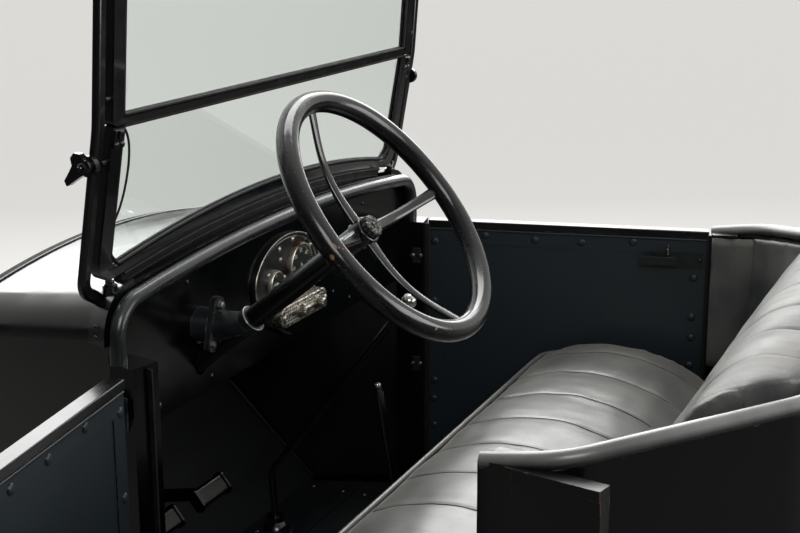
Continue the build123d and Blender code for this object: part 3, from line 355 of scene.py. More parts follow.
# Japanned knob, rubbed through to bare metal on its milled edges: black and grey specks
worn_knob = finish("worn_knob", ("#0B0B0B", "#84827D"), 3.2, (0.26, 0.5), 1.5, 0.5, metallic=1.0)
# Extruded rubber: matt, with a grey bloom
rubber = finish("old_rubber", ("#090909", "#151514"), 30, (0.55, 0.75), 1.5, 0.15, ior=1.42)
# Woven cotton webbing, black: threads 2 mm apart
webbing = finish("cotton_webbing", ("#101011", "#202022"), 8, (0.8, 0.95), 2, 0.5, ior=1.45)
# Printed dial cards: flat black, and flat cream for the figures
dial_black = finish("dial_black", ("#0A0C0B", "#101312"), 30, (0.45, 0.6), 1, 0.02)
dial_cream = finish("dial_cream", ("#CFC9B4", "#E3DDCB"), 12, (0.5, 0.7), 1, 0.02)

# %% Leather and glass
# Black upholstery leather, painted a mid grey that stands in for its sheen as a painted highlight: soft
# sheen, pores 3 mm apart, which is coarser than real so that they show
leather = finish(
    "seat_leather", ("#393B3E", "#595855"), 110, (0.28, 0.56), 3, 0.2, coat=0.8, coat_gloss=0.34)
# Backs touch the seat back less than legs the cushion, so its leather is duller; it is painted the same mid
# grey as a painted sheen
back_leather = finish("back_leather", ("#3E3F42", "#5E5D59"), 110, (0.4, 0.6), 3, 0.2)
# Years of dust and worn-up fibres give both a grey sheen at a slant
SHEEN_TINT, SHEEN_ROUGHNESS = "#C2BEB4", 0.4
for material, weight in ((leather, 0.45), (back_leather, 0.25)):
    inputs = parts_of(material)[1].inputs
    inputs["Sheen Weight"].default_value = weight
    inputs["Sheen Roughness"].default_value = SHEEN_ROUGHNESS
    inputs["Sheen Tint"].default_value = linear(SHEEN_TINT)
# Waxed linen thread: nearly black, a slight shine
thread = finish("waxed_thread", ("#0A0A0A", "#131312"), 6, (0.45, 0.6), 1, 0.1)

# Drawn plate glass: clear and slightly green, and it lets shadow light through
GLASS_TINT = linear("#F4FAF7")
plate_glass = bpy.data.materials.new("plate_glass")
tree = empty_tree(plate_glass)
clear = add(tree, "BsdfPrincipled", {
    "Base Color": GLASS_TINT, "Roughness": 0.0, "IOR": 1.5, "Transmission Weight": 1.0,
})
open_air = add(tree, "BsdfTransparent", {"Color": GLASS_TINT})
shadow = add(tree, "LightPath").outputs["Is Shadow Ray"]
pane_shader = add(tree, "MixShader", {0: shadow, 1: clear.outputs[0], 2: open_air.outputs[0]})
add(tree, "OutputMaterial", {"Surface": pane_shader.outputs[0]})
print("finishes:", len([m for m in bpy.data.materials if m.use_nodes]))

# %% [markdown]
# ## Wear
# Paint goes first where hands and boots rub: on edges. The Bevel node compares a rounded normal with the
# true one, which finds the edges without any change to the mesh, and noise breaks the line up. Hands have
# also worn the rim brown, tarnish has browned the nickel, and dust lies on what faces up. Where the leather
# faces up, its paler grey is partly that dust and partly a painted highlight. The seat bay roll's pale top
# is a painted highlight. The cast iron's pale blue-grey edges are partly wear and partly a painted
# highlight.

# %% Worn edges, dust and painted highlights
# The cosine between true and rounded normals, from the first sign of an edge to a full one
EDGE_TURN = (0.985, 0.86)


def edge_mask(material, radius, size, low, high):
    """1 on edges, broken up by noise whose patches are size millimetres across."""
    tree, shader, point, bump = parts_of(material)
    true = add(tree, "NewGeometry").outputs["Normal"]
    soft = add(tree, "Bevel", {"Radius": radius * MM}, samples=4).outputs[0]
    same = add(tree, "VectorMath", {0: true, 1: soft}, operation="DOT_PRODUCT").outputs["Value"]
    breaks = ranged(tree, noise_of(tree, point, size, detail=6.0), low, high)
    return maths(tree, "MULTIPLY", ranged(tree, same, *EDGE_TURN), breaks)


def upward(material, low, high, amount, size):
    """More than 0 on faces that look up, in patches of size millimetres."""
    tree, shader, point, bump = parts_of(material)
    true = add(tree, "NewGeometry").outputs["Normal"]
    flat = ranged(tree, add(tree, "SeparateXYZ", {0: true}).outputs["Z"], low, high, 0.0, amount)
    patches = ranged(tree, noise_of(tree, point, size, detail=6.0), 0.3, 0.65)
    return maths(tree, "MULTIPLY", flat, patches)


over(coach_enamel, upward(coach_enamel, 0.5, 1.0, 0.12, 60), "#3E3F40", 0.5)
over(coach_enamel, edge_mask(coach_enamel, 2.5, 22, 0.53, 0.63), "#6A4630", 0.7)
# The seat bay roll's upper side is painted pale grey: a painted highlight along the roll
over(rubbed_roll, upward(rubbed_roll, -0.3, 0.4, 1.0, 260), "#9C9C99", 0.34)
over(frame_enamel, edge_mask(frame_enamel, 1.5, 12, 0.6, 0.7), "#3B3A38", 0.5)
# Cast iron edges in pale blue-grey: partly worn paint, partly a painted highlight where the edges catch the
# light
over(cast_iron, edge_mask(cast_iron, 1.6, 18, 0.42, 0.56), "#7B8388", 0.35)
over(floor_paint, upward(floor_paint, 0.2, 1.0, 0.3, 40), "#1C2227", 0.8)

# Inner faces are those that look back at a point amid the seats
CABIN_CENTRE = (0, 0.1, 0.4)
tree, shader, point, bump = parts_of(panel_enamel)
facing = add(tree, "TexCoord").outputs["Normal"]
away = add(tree, "VectorMath", {0: point, 1: CABIN_CENTRE}, operation="SUBTRACT").outputs[0]
outward = add(tree, "VectorMath", {0: facing, 1: away}, operation="DOT_PRODUCT").outputs["Value"]
over(panel_enamel, ranged(tree, outward, 0.03, -0.03), "#222B30", 0.4)
over(panel_enamel, edge_mask(panel_enamel, 2.0, 22, 0.58, 0.68), "#54382A", 0.7)
print("edges worn")

# %% Rubbed rim and tarnished nickel
# Where the left hand rests, the lacquer is worn through to the pale wood: x, y, z and reach in metres
RUBBED_PLACES = ((0.488, 0.011, 0.856, 0.03), (0.40, 0.125, 0.74, 0.008))
tree, shader, point, bump = parts_of(rim_lacquer)
ragged = noise_of(tree, point, 9, detail=6.0)
for x, y, z, reach in RUBBED_PLACES:
    away = add(tree, "VectorMath", {0: point, 1: (x, y, z)}, operation="DISTANCE").outputs["Value"]
    near = ranged(tree, away, 0.0, reach, 0.75, 0.0)
    over(rim_lacquer, ranged(tree, maths(tree, "ADD", near, ragged), 0.86, 0.94), "#8E6B4E", 0.5)
# Finger rings have left pale specks 3 mm across all round
over(rim_lacquer, ranged(tree, noise_of(tree, point, 3, detail=2.0), 0.69, 0.74), "#5C5B57", 0.5)
TARNISH_PATCH = 35
tree, shader, point, bump = parts_of(nickel)
over(nickel, ranged(tree, noise_of(tree, point, TARNISH_PATCH, detail=5.0), 0.56, 0.68), "#5C4028", 0.6)

# %% Leather's cells and creases
# Cells are 3 mm across. Creases are 26 mm wide and twice as long, and they run along the pleats.
CELL_SIZE, CELL_DEPTH, CELL_RIM = 3.0, 0.12, 0.18
CREASE_SIZE, CREASE_DEPTH = 26, 1.3
for material in (leather, back_leather):
    tree, shader, point, bump = parts_of(material)
    scale = 1 / (CELL_SIZE * MM)
    cells = add(tree, "TexVoronoi", {"Vector": point, "Scale": scale}, feature="DISTANCE_TO_EDGE")
    rims = ranged(tree, cells.outputs["Distance"], 0.0, CELL_RIM)
    cell_bump = add(tree, "Bump", {"Height": rims, "Distance": CELL_DEPTH * MM, "Normal": bump.outputs[0]})
    creases = noise_of(tree, point, CREASE_SIZE, detail=8.0, stretch=(1, 0.45, 0.45))
    crease_bump = add(tree, "Bump", {
        "Height": creases, "Distance": CREASE_DEPTH * MM, "Normal": cell_bump.outputs[0],
    })
    tree.links.new(crease_bump.outputs[0], shader.inputs["Normal"])
    # Faces that look up are painted a paler grey: partly dust, partly a painted highlight on the tops
    over(material, upward(material, 0.3, 1.0, 0.3, 140), "#64625D", 0.42)
print("wear added")

# %% [markdown]
# ## Finishes on the CAD pieces
# The record names a slot for each node. A table says which finish each slot gets.

# %% Dress the CAD nodes
SLOT_FINISHES = {
    "body_enamel": coach_enamel, "frame_enamel": frame_enamel, "instrument_enamel": instrument_enamel,
    "rim_lacquer": rim_lacquer, "nickel": nickel, "steel": steel, "cast_iron": cast_iron,
    "leather": leather, "sill_wood": stained_ash, "floor_wood": floor_paint, "rubber": rubber,
    "glass": plate_glass,
}
# Nodes that differ from the rest of their slot
NODE_FINISHES = {
    "switch_box": pitted_nickel, "gear_knob": polished_steel, "cowl_roll": roll_enamel,
    "seat_bay_roll": rubbed_roll, "left_door_latch": black_steel, "right_door_latch": black_steel,
    "left_door_panel": panel_enamel, "right_door_panel": panel_enamel,
}
NODE_FINISHES.update(dict.fromkeys(("instrument_board", "firewall", "a_posts", "pedals"), board_enamel))
for part in frame["record"]["subparts"]:
    name = part["node"]
    for holder in nodes[name].material_slots:
        holder.material = NODE_FINISHES.get(name, SLOT_FINISHES[part["material_slot"]])

# %% [markdown]
# ## Shapes
# Most small parts of a car were turned, pressed or bent from strip. So three helpers make most of the trim:
# a turned shape from a profile, many copies of one shape joined as one piece, and a strip or bar bent
# along a line.

# %% Turned shapes and plates
CORNERS = ((-1, -1), (1, -1), (1, 1), (-1, 1))
BOX_FACES = [(3, 2, 1, 0), (4, 5, 6, 7)] + [(i, (i + 1) % 4, 4 + (i + 1) % 4, 4 + i) for i in range(4)]


def turned(profile, steps=20, lobes=0, lobe_depth=0.0):
    """Points and faces of a profile of (radius, height) turned about Z, with lobes if asked."""
    points = []
    for radius, height in profile:
        for step in range(steps):
            angle = 2 * math.pi * step / steps
            wide = radius * (1 + lobe_depth * math.cos(lobes * angle)) * MM
            points.append((wide * math.cos(angle), wide * math.sin(angle), height * MM))
    faces = []
    for ring in range(len(profile) - 1):
        for step in range(steps):
            after = (step + 1) % steps
            low, high = ring * steps, (ring + 1) * steps
            faces.append((low + step, low + after, high + after, high + step))
    faces.append(tuple(reversed(range(steps))))
    faces.append(tuple(range((len(profile) - 1) * steps, len(profile) * steps)))
    return points, faces


def open_ended(shape):
    """A turned shape without its two end faces."""
    return shape[0], shape[1][:-2]


def slab(width, length, height, edge=1.0):
    """Points and faces of a plate with chamfered top edges, standing on its base."""
    points = []
    for inset, level in ((0, 0), (0, height - edge), (edge, height)):
        for sx, sy in CORNERS:
            points.append((sx * (width / 2 - inset) * MM, sy * (length / 2 - inset) * MM, level * MM))
    faces = [(3, 2, 1, 0), (8, 9, 10, 11)]
    for low in (0, 4):
        faces += [(low + i, low + (i + 1) % 4, low + 4 + (i + 1) % 4, low + 4 + i) for i in range(4)]
    return points, faces


def block(width, length, height):
    """Points and faces of a plain box about its centre."""
    points = [(sx * width / 2 * MM, sy * length / 2 * MM, sz * height / 2 * MM)
              for sz in (-1, 1) for sx, sy in CORNERS]
    return points, BOX_FACES


# %% Joining and placing shapes
# The angle between two faces in degrees, from which their edge stays sharp
SHARP_FROM = 35


def joined(*shapes):
    """Several shapes as one."""
    points, faces = [], []
    for more_points, more_faces in shapes:
        faces += [tuple(i + len(points) for i in face) for face in more_faces]
        points += more_points
    return points, faces


def placed(shape, matrix):
    """A shape carried to another place."""
    return [tuple(matrix @ Vector(p)) for p in shape[0]], shape[1]


def shifted(x, y, z):
    """A move by millimetres."""
    return Matrix.Translation(Vector((x, y, z)) * MM)


def at(point, out, turn=0.0):
    """A place at a point in millimetres, with its Z axis along out."""
    facing = Vector(out).to_track_quat("Z", "Y").to_matrix().to_4x4()
    return shifted(*point) @ facing @ Matrix.Rotation(math.radians(turn), 4, "Z")


def piece(name, shape, material, body):
    """An object made from points and faces, smooth except over its sharp edges."""
    mesh = bpy.data.meshes.new(name)
    mesh.from_pydata(shape[0], [], shape[1])
    builder = bmesh.new()
    builder.from_mesh(mesh)
    bmesh.ops.recalc_face_normals(builder, faces=builder.faces)
    builder.to_mesh(mesh)
    builder.free()
    made = shown(name, mesh, material, body)
    mesh.set_sharp_from_angle(angle=math.radians(SHARP_FROM))
    return made


def copies(name, shape, places, material, body="body"):
    """One piece made of a shape at each place."""
    return piece(name, joined(*[placed(shape, place) for place in places]), material, body)


# %% Bent bars and strips
def bar(name, lines, radius, material, body="body", closed=False, extrude=0.0, place=None, flat=False):
    """A bar, bead or strip of a radius along each line of points in millimetres."""
    curve = bpy.data.curves.new(name, "CURVE")
    curve.dimensions = "2D" if flat else "3D"
    if flat:
        curve.fill_mode = "NONE"
    curve.bevel_depth = radius * MM
    curve.bevel_resolution = 3
    curve.extrude = extrude * MM
    curve.resolution_u = 6
    curve.use_fill_caps = not flat
    for line in lines:
        spline = curve.splines.new("NURBS")
        spline.points.add(len(line) - 1)
        for target, point in zip(spline.points, line):
            target.co = (*[c * MM for c in point], 1)
        spline.order_u = 3
        spline.use_endpoint_u = not closed
        spline.use_cyclic_u = closed
    mesh = kept_mesh(linked(name + "_line", curve), name)
    if place is not None:
        mesh.transform(place)
    return shown(name, mesh, material, body)


# %% Fasteners
# Domed rivets in three sizes, a hexagon bolt on a washer, and a domed screw with a screwdriver slot
rivet = turned([(4.6, -0.5), (4.6, 0.5), (4.0, 1.5), (2.6, 2.2), (0.4, 2.5)])
carriage_bolt = turned([(8.2, -0.5), (8.2, 0.5), (7.4, 1.7), (5.2, 2.9), (2.6, 3.4), (0.4, 3.5)], steps=28)
small_rivet = turned([(3.0, -0.5), (3.0, 0.4), (2.4, 1.2), (1.3, 1.7), (0.3, 1.8)], steps=14)
washer = turned([(9.0, -0.3), (9.0, 1.6), (4.0, 1.8)])
hexagon = turned([(6.8, 1.2), (6.8, 5.8), (5.6, 6.6), (0.5, 6.8)], steps=6)
bolt = joined(washer, hexagon)


def half_head(radius, height, gap):
    """One half of a domed screw head, with its flat wall at the slot."""
    rings, steps = 4, 10
    points, faces = [], []
    for ring in range(rings + 1):
        lift = ring / rings * math.pi / 2
        wide = radius * math.cos(lift * 0.92)
        for step in range(steps + 1):
            angle = math.pi * step / steps
            place = (wide * math.cos(angle), wide * math.sin(angle) + gap / 2, height * math.sin(lift))
            points.append(tuple(c * MM for c in place))
    row = steps + 1
    for ring in range(rings):
        for step in range(steps):
            a = ring * row + step
            faces.append((a, a + 1, a + row + 1, a + row))
    faces.append(tuple(range(rings * row, (rings + 1) * row)))
    inner_wall = [r * row for r in range(rings + 1)]
    faces.append(tuple(inner_wall + [start + steps for start in reversed(inner_wall)]))
    return points, faces


one_half = half_head(4.6, 2.8, 1.4)
other_half = placed(one_half, Matrix.Rotation(math.pi, 4, "Z"))
screw = joined(turned([(5.0, -0.6), (5.0, 0.4), (4.4, 0.8)]), one_half, other_half)
print("fasteners: rivets, bolts, screw")

# %% [markdown]
# ## Doors
# Each door is a pressed steel skin riveted round its border. The rivets are written once, in the door's own
# frame with y back from the hinge and z up, and carried to both doors. Both hang on the same hinge line: the
# left one stands open and the right one is shut.

# %% Door frames
SIDE_ORIGIN = (545, -285, 0)
SIDE_TAPER = 11.8
PIN = (14, -31, 0)
OPEN_ANGLE = 69
DOOR_INNER = -24

side = shifted(*SIDE_ORIGIN) @ Matrix.Rotation(math.radians(-SIDE_TAPER), 4, "Z")
to_pin = shifted(*PIN)
swing = to_pin @ Matrix.Rotation(math.radians(-OPEN_ANGLE), 4, "Z") @ to_pin.inverted()
mirrored = Matrix.Scale(-1, 4, (1, 0, 0))
SIDES = {"left": side, "right": mirrored @ side}
DOORS = {"left": side @ swing, "right": mirrored @ side}

# %% Door rivets, hinge screws and latch knobs
# Rivets on the inner skin, as (y, z)
DOOR_RIVETS = (
    (19, 625), (124, 642), (227, 637), (321, 636), (425, 642), (548, 573), (547, 491), (548, 448),
    (548, 389), (547, 290), (548, 196), (19, 321), (18, 280), (19, 220), (18, 497), (60, 93),
    (176, 92), (292, 93), (408, 92), (520, 93),
)
HINGE_HEIGHTS = (130, 365, 600)
STRAP_SCREWS_Y = (38, 62, 86)
LATCH_SCREWS_Y, LATCH_Z = (466, 558), 610
INWARD, OUTWARD, UPRIGHT = (-1, 0, 0), (1, 0, 0), (0, 0, 1)
spindle = turned([(4, 0), (4, 12), (2.4, 13), (2.4, 22), (0.4, 23)], steps=16)
hinge_cap = turned([(7.5, -0.5), (7.5, 1.2), (6.2, 3.4), (3.5, 4.8), (0.4, 5.2)])
for name, door in DOORS.items():
    body = name + "_door"
    inner = [door @ at((DOOR_INNER, y, z), INWARD) for y, z in DOOR_RIVETS]
    copies(name + "_door_rivets", carriage_bolt, inner, panel_enamel, body)
    strap_screws = [door @ at((5, y, z), OUTWARD, 40 * y) for z in HINGE_HEIGHTS for y in STRAP_SCREWS_Y]
    copies(name + "_strap_screws", screw, strap_screws, cast_iron, body)
    plate_screws = [door @ at((DOOR_INNER - 3, y, LATCH_Z), INWARD, 30) for y in LATCH_SCREWS_Y]
    copies(name + "_latch_screws", screw, plate_screws, black_steel, body)
    knob_place = door @ at((DOOR_INNER - 6, 495, LATCH_Z + 10), UPRIGHT)
    copies(name + "_latch_spindle", spindle, [knob_place], polished_steel, body)
    bead_line = [(DOOR_INNER - 0.5, y, 652) for y in (9, 150, 430, 571)]
    bar(name + "_door_bead", [bead_line], 2.6, panel_enamel, body, place=door)
    pins = [door @ at((PIN[0], PIN[1], z + 25.3), UPRIGHT) for z in HINGE_HEIGHTS]
    copies(name + "_hinge_caps", hinge_cap, pins, cast_iron)
print("doors:", len(DOOR_RIVETS), "rivets each")

# %% [markdown]
# A strip behind each end of a shut door stops the draught and the daylight. It stands on the post, clear of
# the door's inner face by more than 5 mm, so that the door swings freely.

# %% Door stops and hinge clips
STOP_GAP, STOP_THICK, STOP_WIDTH = 6, 3, 22
STOP_BOTTOM, STOP_TOP = 88, 664
STOP_PLACES_Y = (-2, 582)
CLIP_HEIGHTS = (600, 366)
CLIP_X, CLIP_Y, CLIP_THICK = -52, -14, 3.2
strip = block(STOP_THICK, STOP_WIDTH, STOP_TOP - STOP_BOTTOM)
stop_x, stop_z = DOOR_INNER - STOP_GAP - STOP_THICK / 2, (STOP_BOTTOM + STOP_TOP) / 2
quarter = Matrix.Rotation(math.pi / 2, 4, "Z")
for name, frame_of_side in SIDES.items():
    places = [frame_of_side @ shifted(stop_x, y, stop_z) for y in STOP_PLACES_Y]
    stop = copies(name + "_door_stops", strip, places, rubber)
    soft_edge = stop.modifiers.new("soft_edge", "BEVEL")
    soft_edge.width = MM
    soft_edge.segments = 2
    clips = [frame_of_side @ at((CLIP_X, CLIP_Y, z), INWARD) @ quarter for z in CLIP_HEIGHTS]
    copies(name + "_hinge_clips", slab(32, 17, CLIP_THICK), clips, black_steel)
    heads = [
        frame_of_side @ at((CLIP_X - 3, CLIP_Y + dy, z), INWARD, 40)
        for z in CLIP_HEIGHTS for dy in (-8, 8)
    ]
    copies(name + "_clip_screws", screw, heads, steel)
print("door stops on both sides")

# %% [markdown]
# ## Instruments
# The instruments sit in one oval plate: a large dial, a small one and a warning lamp. The plate's border is
# a nickel bead, drawn as a bent wire. A dial is a dark card with cream figures printed on it, a needle on a
# hub, a nickel bezel and a clear glass. Figures are plain numbers cut from Blender's own font.

# %% Instrument plate and screws
BOARD_Y = -330
PLATE_Z = 673
PLATE_HALF = (120, 75)
PLATE_FACE_Y = BOARD_Y + 3
FACING_REAR = (0, 1, 0)


def ellipse(half_x, half_z, y, steps=40):
    """A closed line of points round an ellipse about the plate's centre."""
    turns = [2 * math.pi * i / steps for i in range(steps)]
    return [(half_x * math.cos(t), y, PLATE_Z + half_z * math.sin(t)) for t in turns]


plate_beads = [
    ellipse(PLATE_HALF[0] - inset, PLATE_HALF[1] - inset, y)
    for inset, y in ((1, BOARD_Y + 6.5), (8, PLATE_FACE_Y + 1))
]
bar("plate_beads", plate_beads, 1.5, nickel, closed=True)

PLATE_SCREWS = (
    (66, 687), (22, 705), (25, 725), (-24, 733), (-73, 725), (-92, 708), (9, 671), (64, 670),
    (96, 650), (-60, 628),
)
BOARD_RIVETS = ((321, 739), (257, 565), (-321, 739), (-257, 565), (-187, 594))
on_plate = [at((x, PLATE_FACE_Y, z), FACING_REAR, 37 * i) for i, (x, z) in enumerate(PLATE_SCREWS)]
copies("plate_screws", screw, on_plate, nickel)
on_board = [at((x, BOARD_Y, z), FACING_REAR) for x, z in BOARD_RIVETS]
copies("board_rivets", rivet, on_board, coach_enamel)
print("plate screws:", len(PLATE_SCREWS))

# %% Dial cards, bezels and glasses
# Centre x and z, and radius
DIALS = {"large": (-42, 681, 42), "small": (50, 669, 24), "lamp": (-98, 671, 10)}
for name, (x, z, r) in DIALS.items():
    card = turned([(r - 4.2, 0), (r - 4.2, 0.4), (r * 0.4, 0.6), (0.5, 0.6)], steps=40)
    bezel = [(r + 1.2, 0), (r + 1.2, 6), (r, 8.6), (r - 2, 9.6), (r - 4.4, 8.4), (r - 4.4, 5)]
    bezel = open_ended(turned(bezel, steps=48))
    glass = turned([(r - 4.6, 0), (r - 5, 1.2), (r * 0.5, 2.2), (0.4, 2.6)], steps=40)
    parts = (("dial_card_", card, 5, dial_black), ("bezel_", bezel, 0, nickel),
             ("dial_glass_", glass, 7, plate_glass))
    for part, shape, lift, material in parts:
        copies(part + name, shape, [at((x, PLATE_FACE_Y + lift, z), FACING_REAR)], material)
print("dial cards:", len(DIALS))

# %% Dial figures and needles
TO_REAR = Matrix(((-1, 0, 0, 0), (0, 0, 1, 0), (0, 1, 0, 0), (0, 0, 0, 1)))
SWEEP_START, SWEEP = 225, 270
PRINT_Y, NEEDLE_Y = PLATE_FACE_Y + 5.8, PLATE_FACE_Y + 6.4


def figure(text, size, x, z):
    """A number as thin raised letters that face the rear."""
    curve = bpy.data.curves.new("figure", "FONT")
    curve.body = text
    curve.size = size * MM
    curve.extrude = 0.15 * MM
    curve.align_x = "CENTER"
    curve.align_y = "CENTER"
    curve.resolution_u = 3
    mesh = kept_mesh(linked("figure", curve), "figure")
    letters = [tuple(v.co) for v in mesh.vertices], [tuple(p.vertices) for p in mesh.polygons]
    return placed(letters, shifted(x, PRINT_Y, z) @ TO_REAR)


def on_dial(name, share, out):
    """The angle at a share of the dial's sweep, and the place out from the dial's centre there."""
    x, z, radius = DIALS[name]
    angle = math.radians(SWEEP_START - SWEEP * share)
    return angle, x - out * math.cos(angle), z + out * math.sin(angle)


prints = []
for name, ticks, numbers, reach in (("large", 31, 7, 0.66), ("small", 11, 3, 0.58)):
    radius = DIALS[name][2]
    for i in range(ticks):
        long_tick = i % ((ticks - 1) // (numbers - 1)) == 0
        height = radius * (0.16 if long_tick else 0.09)
        angle, x, z = on_dial(name, i / (ticks - 1), radius - 5 - height / 2)
        tick = slab(1.3 if long_tick else 0.8, height, 0.3, 0.1)
        spin = Matrix.Rotation(-(angle - math.pi / 2), 4, "Y")
        prints.append(placed(tick, shifted(x, PRINT_Y, z) @ spin @ TO_REAR))
    for i in range(numbers):
        angle, x, z = on_dial(name, i / (numbers - 1), radius * reach)
        prints.append(figure(str(10 * i), radius * 0.24, x, z))
piece("dial_figures", joined(*prints), dial_cream, "body")

needle_hub = turned([(3.2, -0.4), (3.2, 0.8), (2.2, 1.6), (0.3, 1.8)], steps=16)
for name, angle in (("large", 200), ("small", 90)):
    x, z, radius = DIALS[name]
    tip = radius - 10
    outline = ((-1.2, -6), (1.2, -6), (0.3, tip), (-0.3, tip))
    arm = [(px * MM, py * MM, pz * MM) for pz in (0, 0.5) for px, py in outline], BOX_FACES
    needle_place = at((x, NEEDLE_Y, z), FACING_REAR, angle)
    copies("needle_" + name, joined(arm, needle_hub), [needle_place], dial_cream)
print("dials:", ", ".join(DIALS))

# %% [markdown]
# ## Switch box
# The switch box has a pressed nickel cover: a raised ridge, two ribbed keys and small screws. Its pressed
# pattern is a grid of low studs, made as real bumps because the light catches each of them.

# %% Switch cover and keys
SWITCH_X, SWITCH_Z = -6, 615
SWITCH_FRONT_Y = BOARD_Y + 35
STUD_PITCH, STUD_ROWS, STUD_COLUMNS = 7, (-11, -5.5, 5.5, 11), 10
WIRE_LINE = [(66, -324, 604), (60, -318, 596), (40, -318, 582), (18, -320, 571), (-1, -324, 565)]


def on_switch(dx, dz, turn=0.0):
    """A place on the switch box's cover, from its centre."""
    return at((SWITCH_X + dx, SWITCH_FRONT_Y, SWITCH_Z + dz), FACING_REAR, turn)


key = joined(
    turned([(12, -0.5), (12, 2.5), (10.5, 4), (5, 4.5)], steps=32),
    turned([(8.5, 3), (9, 5), (9, 15), (7.5, 17.5), (1, 18)], steps=48, lobes=12, lobe_depth=0.05),
)
copies("switch_keys", key, [on_switch(24, 2), on_switch(-44, 0)], nickel)
ridge = joined(slab(62, 9, 6, 3), placed(slab(10, 26, 8, 3), shifted(-36, 0, 0)))
copies("switch_ridge", ridge, [on_switch(-22, -1)], nickel)
stud = turned([(2.2, -0.3), (2.0, 0.7), (1.1, 1.4), (0.2, 1.6)], steps=10)
studs = [
    on_switch(column * STUD_PITCH + (row > 0) * STUD_PITCH / 2, row)
    for column in range(-STUD_COLUMNS, STUD_COLUMNS + 1) for row in STUD_ROWS
]
copies("switch_studs", stud, studs, nickel)
copies("switch_screws", screw, [on_switch(dx, 0, 20) for dx in (76, -78)], nickel)
bar("board_cable", [WIRE_LINE], 2.6, rubber)

# %% [markdown]
# ## Steering
# The hub's cap is a moulded knob with a milled grip, so that a hand can turn the fuel mixture. A gear-like
# ring of lobes round a turned dome gives that edge. The column's bracket is held by three bolts.

# %% Hub grip and column bolts
WHEEL_CENTRE = (289, 0, 870)
COLUMN_ANGLE = 38.83
HUB_TOP, HUB_LENGTH, GRIP_LIFT = 37, 62, 4
RING_DEPTH, RING_RADIUS, COLLAR_DEPTH = 298, 21.2, 112
lean = math.radians(COLUMN_ANGLE)
column_axis = Vector((0, math.cos(lean), math.sin(lean)))


def down_column(depth):
    """A point on the column's axis, depth below the rim's plane."""
    return Vector(WHEEL_CENTRE) - column_axis * depth


grip = turned(
    [(15.4, 0), (16.8, 1.2), (17.0, 3), (17.0, 8.6), (15.8, 11), (13.2, 12.4), (11.6, 11.6), (8.4, 12),
     (7.4, 10.4), (4.6, 10.4), (4.2, 12.4), (2.6, 13), (0.3, 13)],
    steps=112, lobes=14, lobe_depth=0.06,
)
bead = turned([(1.7, 0), (1.4, 0.9), (0.8, 1.3), (0.2, 1.4)], steps=10)
beads = [
    placed(bead, shifted(r * math.cos(t), r * math.sin(t), h))
    for r, h, count in ((13.6, 11.8, 14), (9.8, 11.5, 10))
    for t in [2 * math.pi * (i + 0.5) / count for i in range(count)]
]
grip_place = at(down_column(HUB_TOP + GRIP_LIFT), column_axis)
hub_grip = copies("hub_grip", joined(grip, *beads), [grip_place], worn_knob, "steering")
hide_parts("horn_button")
hub_nut = turned([(13, 0), (13, 3), (11, 4)], steps=6)
copies("hub_nut", hub_nut, [at(down_column(HUB_TOP + HUB_LENGTH - 1), -column_axis)], steel, "steering")

BRACKET_Y = BOARD_Y + 38
bracket_bolts = [at((x, BRACKET_Y, z), FACING_REAR) for x, z in ((289, 697), (263, 641), (315, 641))]
copies("bracket_bolts", bolt, bracket_bolts, steel)
turns = [math.pi * i / 12 for i in range(24)]
ring_line = [(RING_RADIUS * math.cos(t), RING_RADIUS * math.sin(t), 0) for t in turns]
bar("ring_bead", [ring_line], 1.3, nickel, closed=True, place=at(down_column(RING_DEPTH), column_axis))
collar = open_ended(turned([(19.6, 0), (19.6, 9), (18.2, 10.5), (17.6, 10.5)], steps=36))
copies("column_collar", collar, [at(down_column(COLLAR_DEPTH), -column_axis)], steel)
print("steering dressed")

# %% [markdown]
# ## Windscreen
# The glass sits in rubber strips pressed into the frames. A seal closes the gap over the scuttle, with a
# moulded bead on it. At the left post an old draught strip has come loose and bows away from the frame.
# All of these are bars bent in the screen's own plane.

# %% Screen planes and strips
SCREEN_ORIGIN = (0, -360, 798)
LOWER_RAKE, UPPER_RAKE = 10, 4.5
SCREEN_BAR = 216
UPPER_TOP = 324
OPENING_HALF = 492
FRAME_WIDTH = 26
STRIP, GLAZING_OUT, GLAZING_STEP = 3, 5.6, 12


def tilted(origin, rake):
    """A plane whose x runs across the car and whose y runs up the glass; z looks forward."""
    angle = math.radians(rake)
    columns = Matrix((
        (1, 0, 0),
        (0, math.sin(angle), -math.cos(angle)),
        (0, math.cos(angle), math.sin(angle)),
    ))
    return shifted(*origin) @ columns.to_4x4()


def arch(half, middle, drop, steps=24):
    """Points of the arched lower edge, from one side to the other."""
    xs = [-half + 2 * half * i / steps for i in range(steps + 1)]
    return [(x, middle - drop * (x / OPENING_HALF) ** 2) for x in xs]


def spaced(line, pitch):
    """Points about pitch millimetres apart along a line of straight stretches, without its end."""
    points = []
    for (x0, v0), (x1, v1) in zip(line, line[1:]):
        count = max(1, int(math.hypot(x1 - x0, v1 - v0) / pitch))
        points += [(x0 + (x1 - x0) * k / count, v0 + (v1 - v0) * k / count) for k in range(count)]
    return points


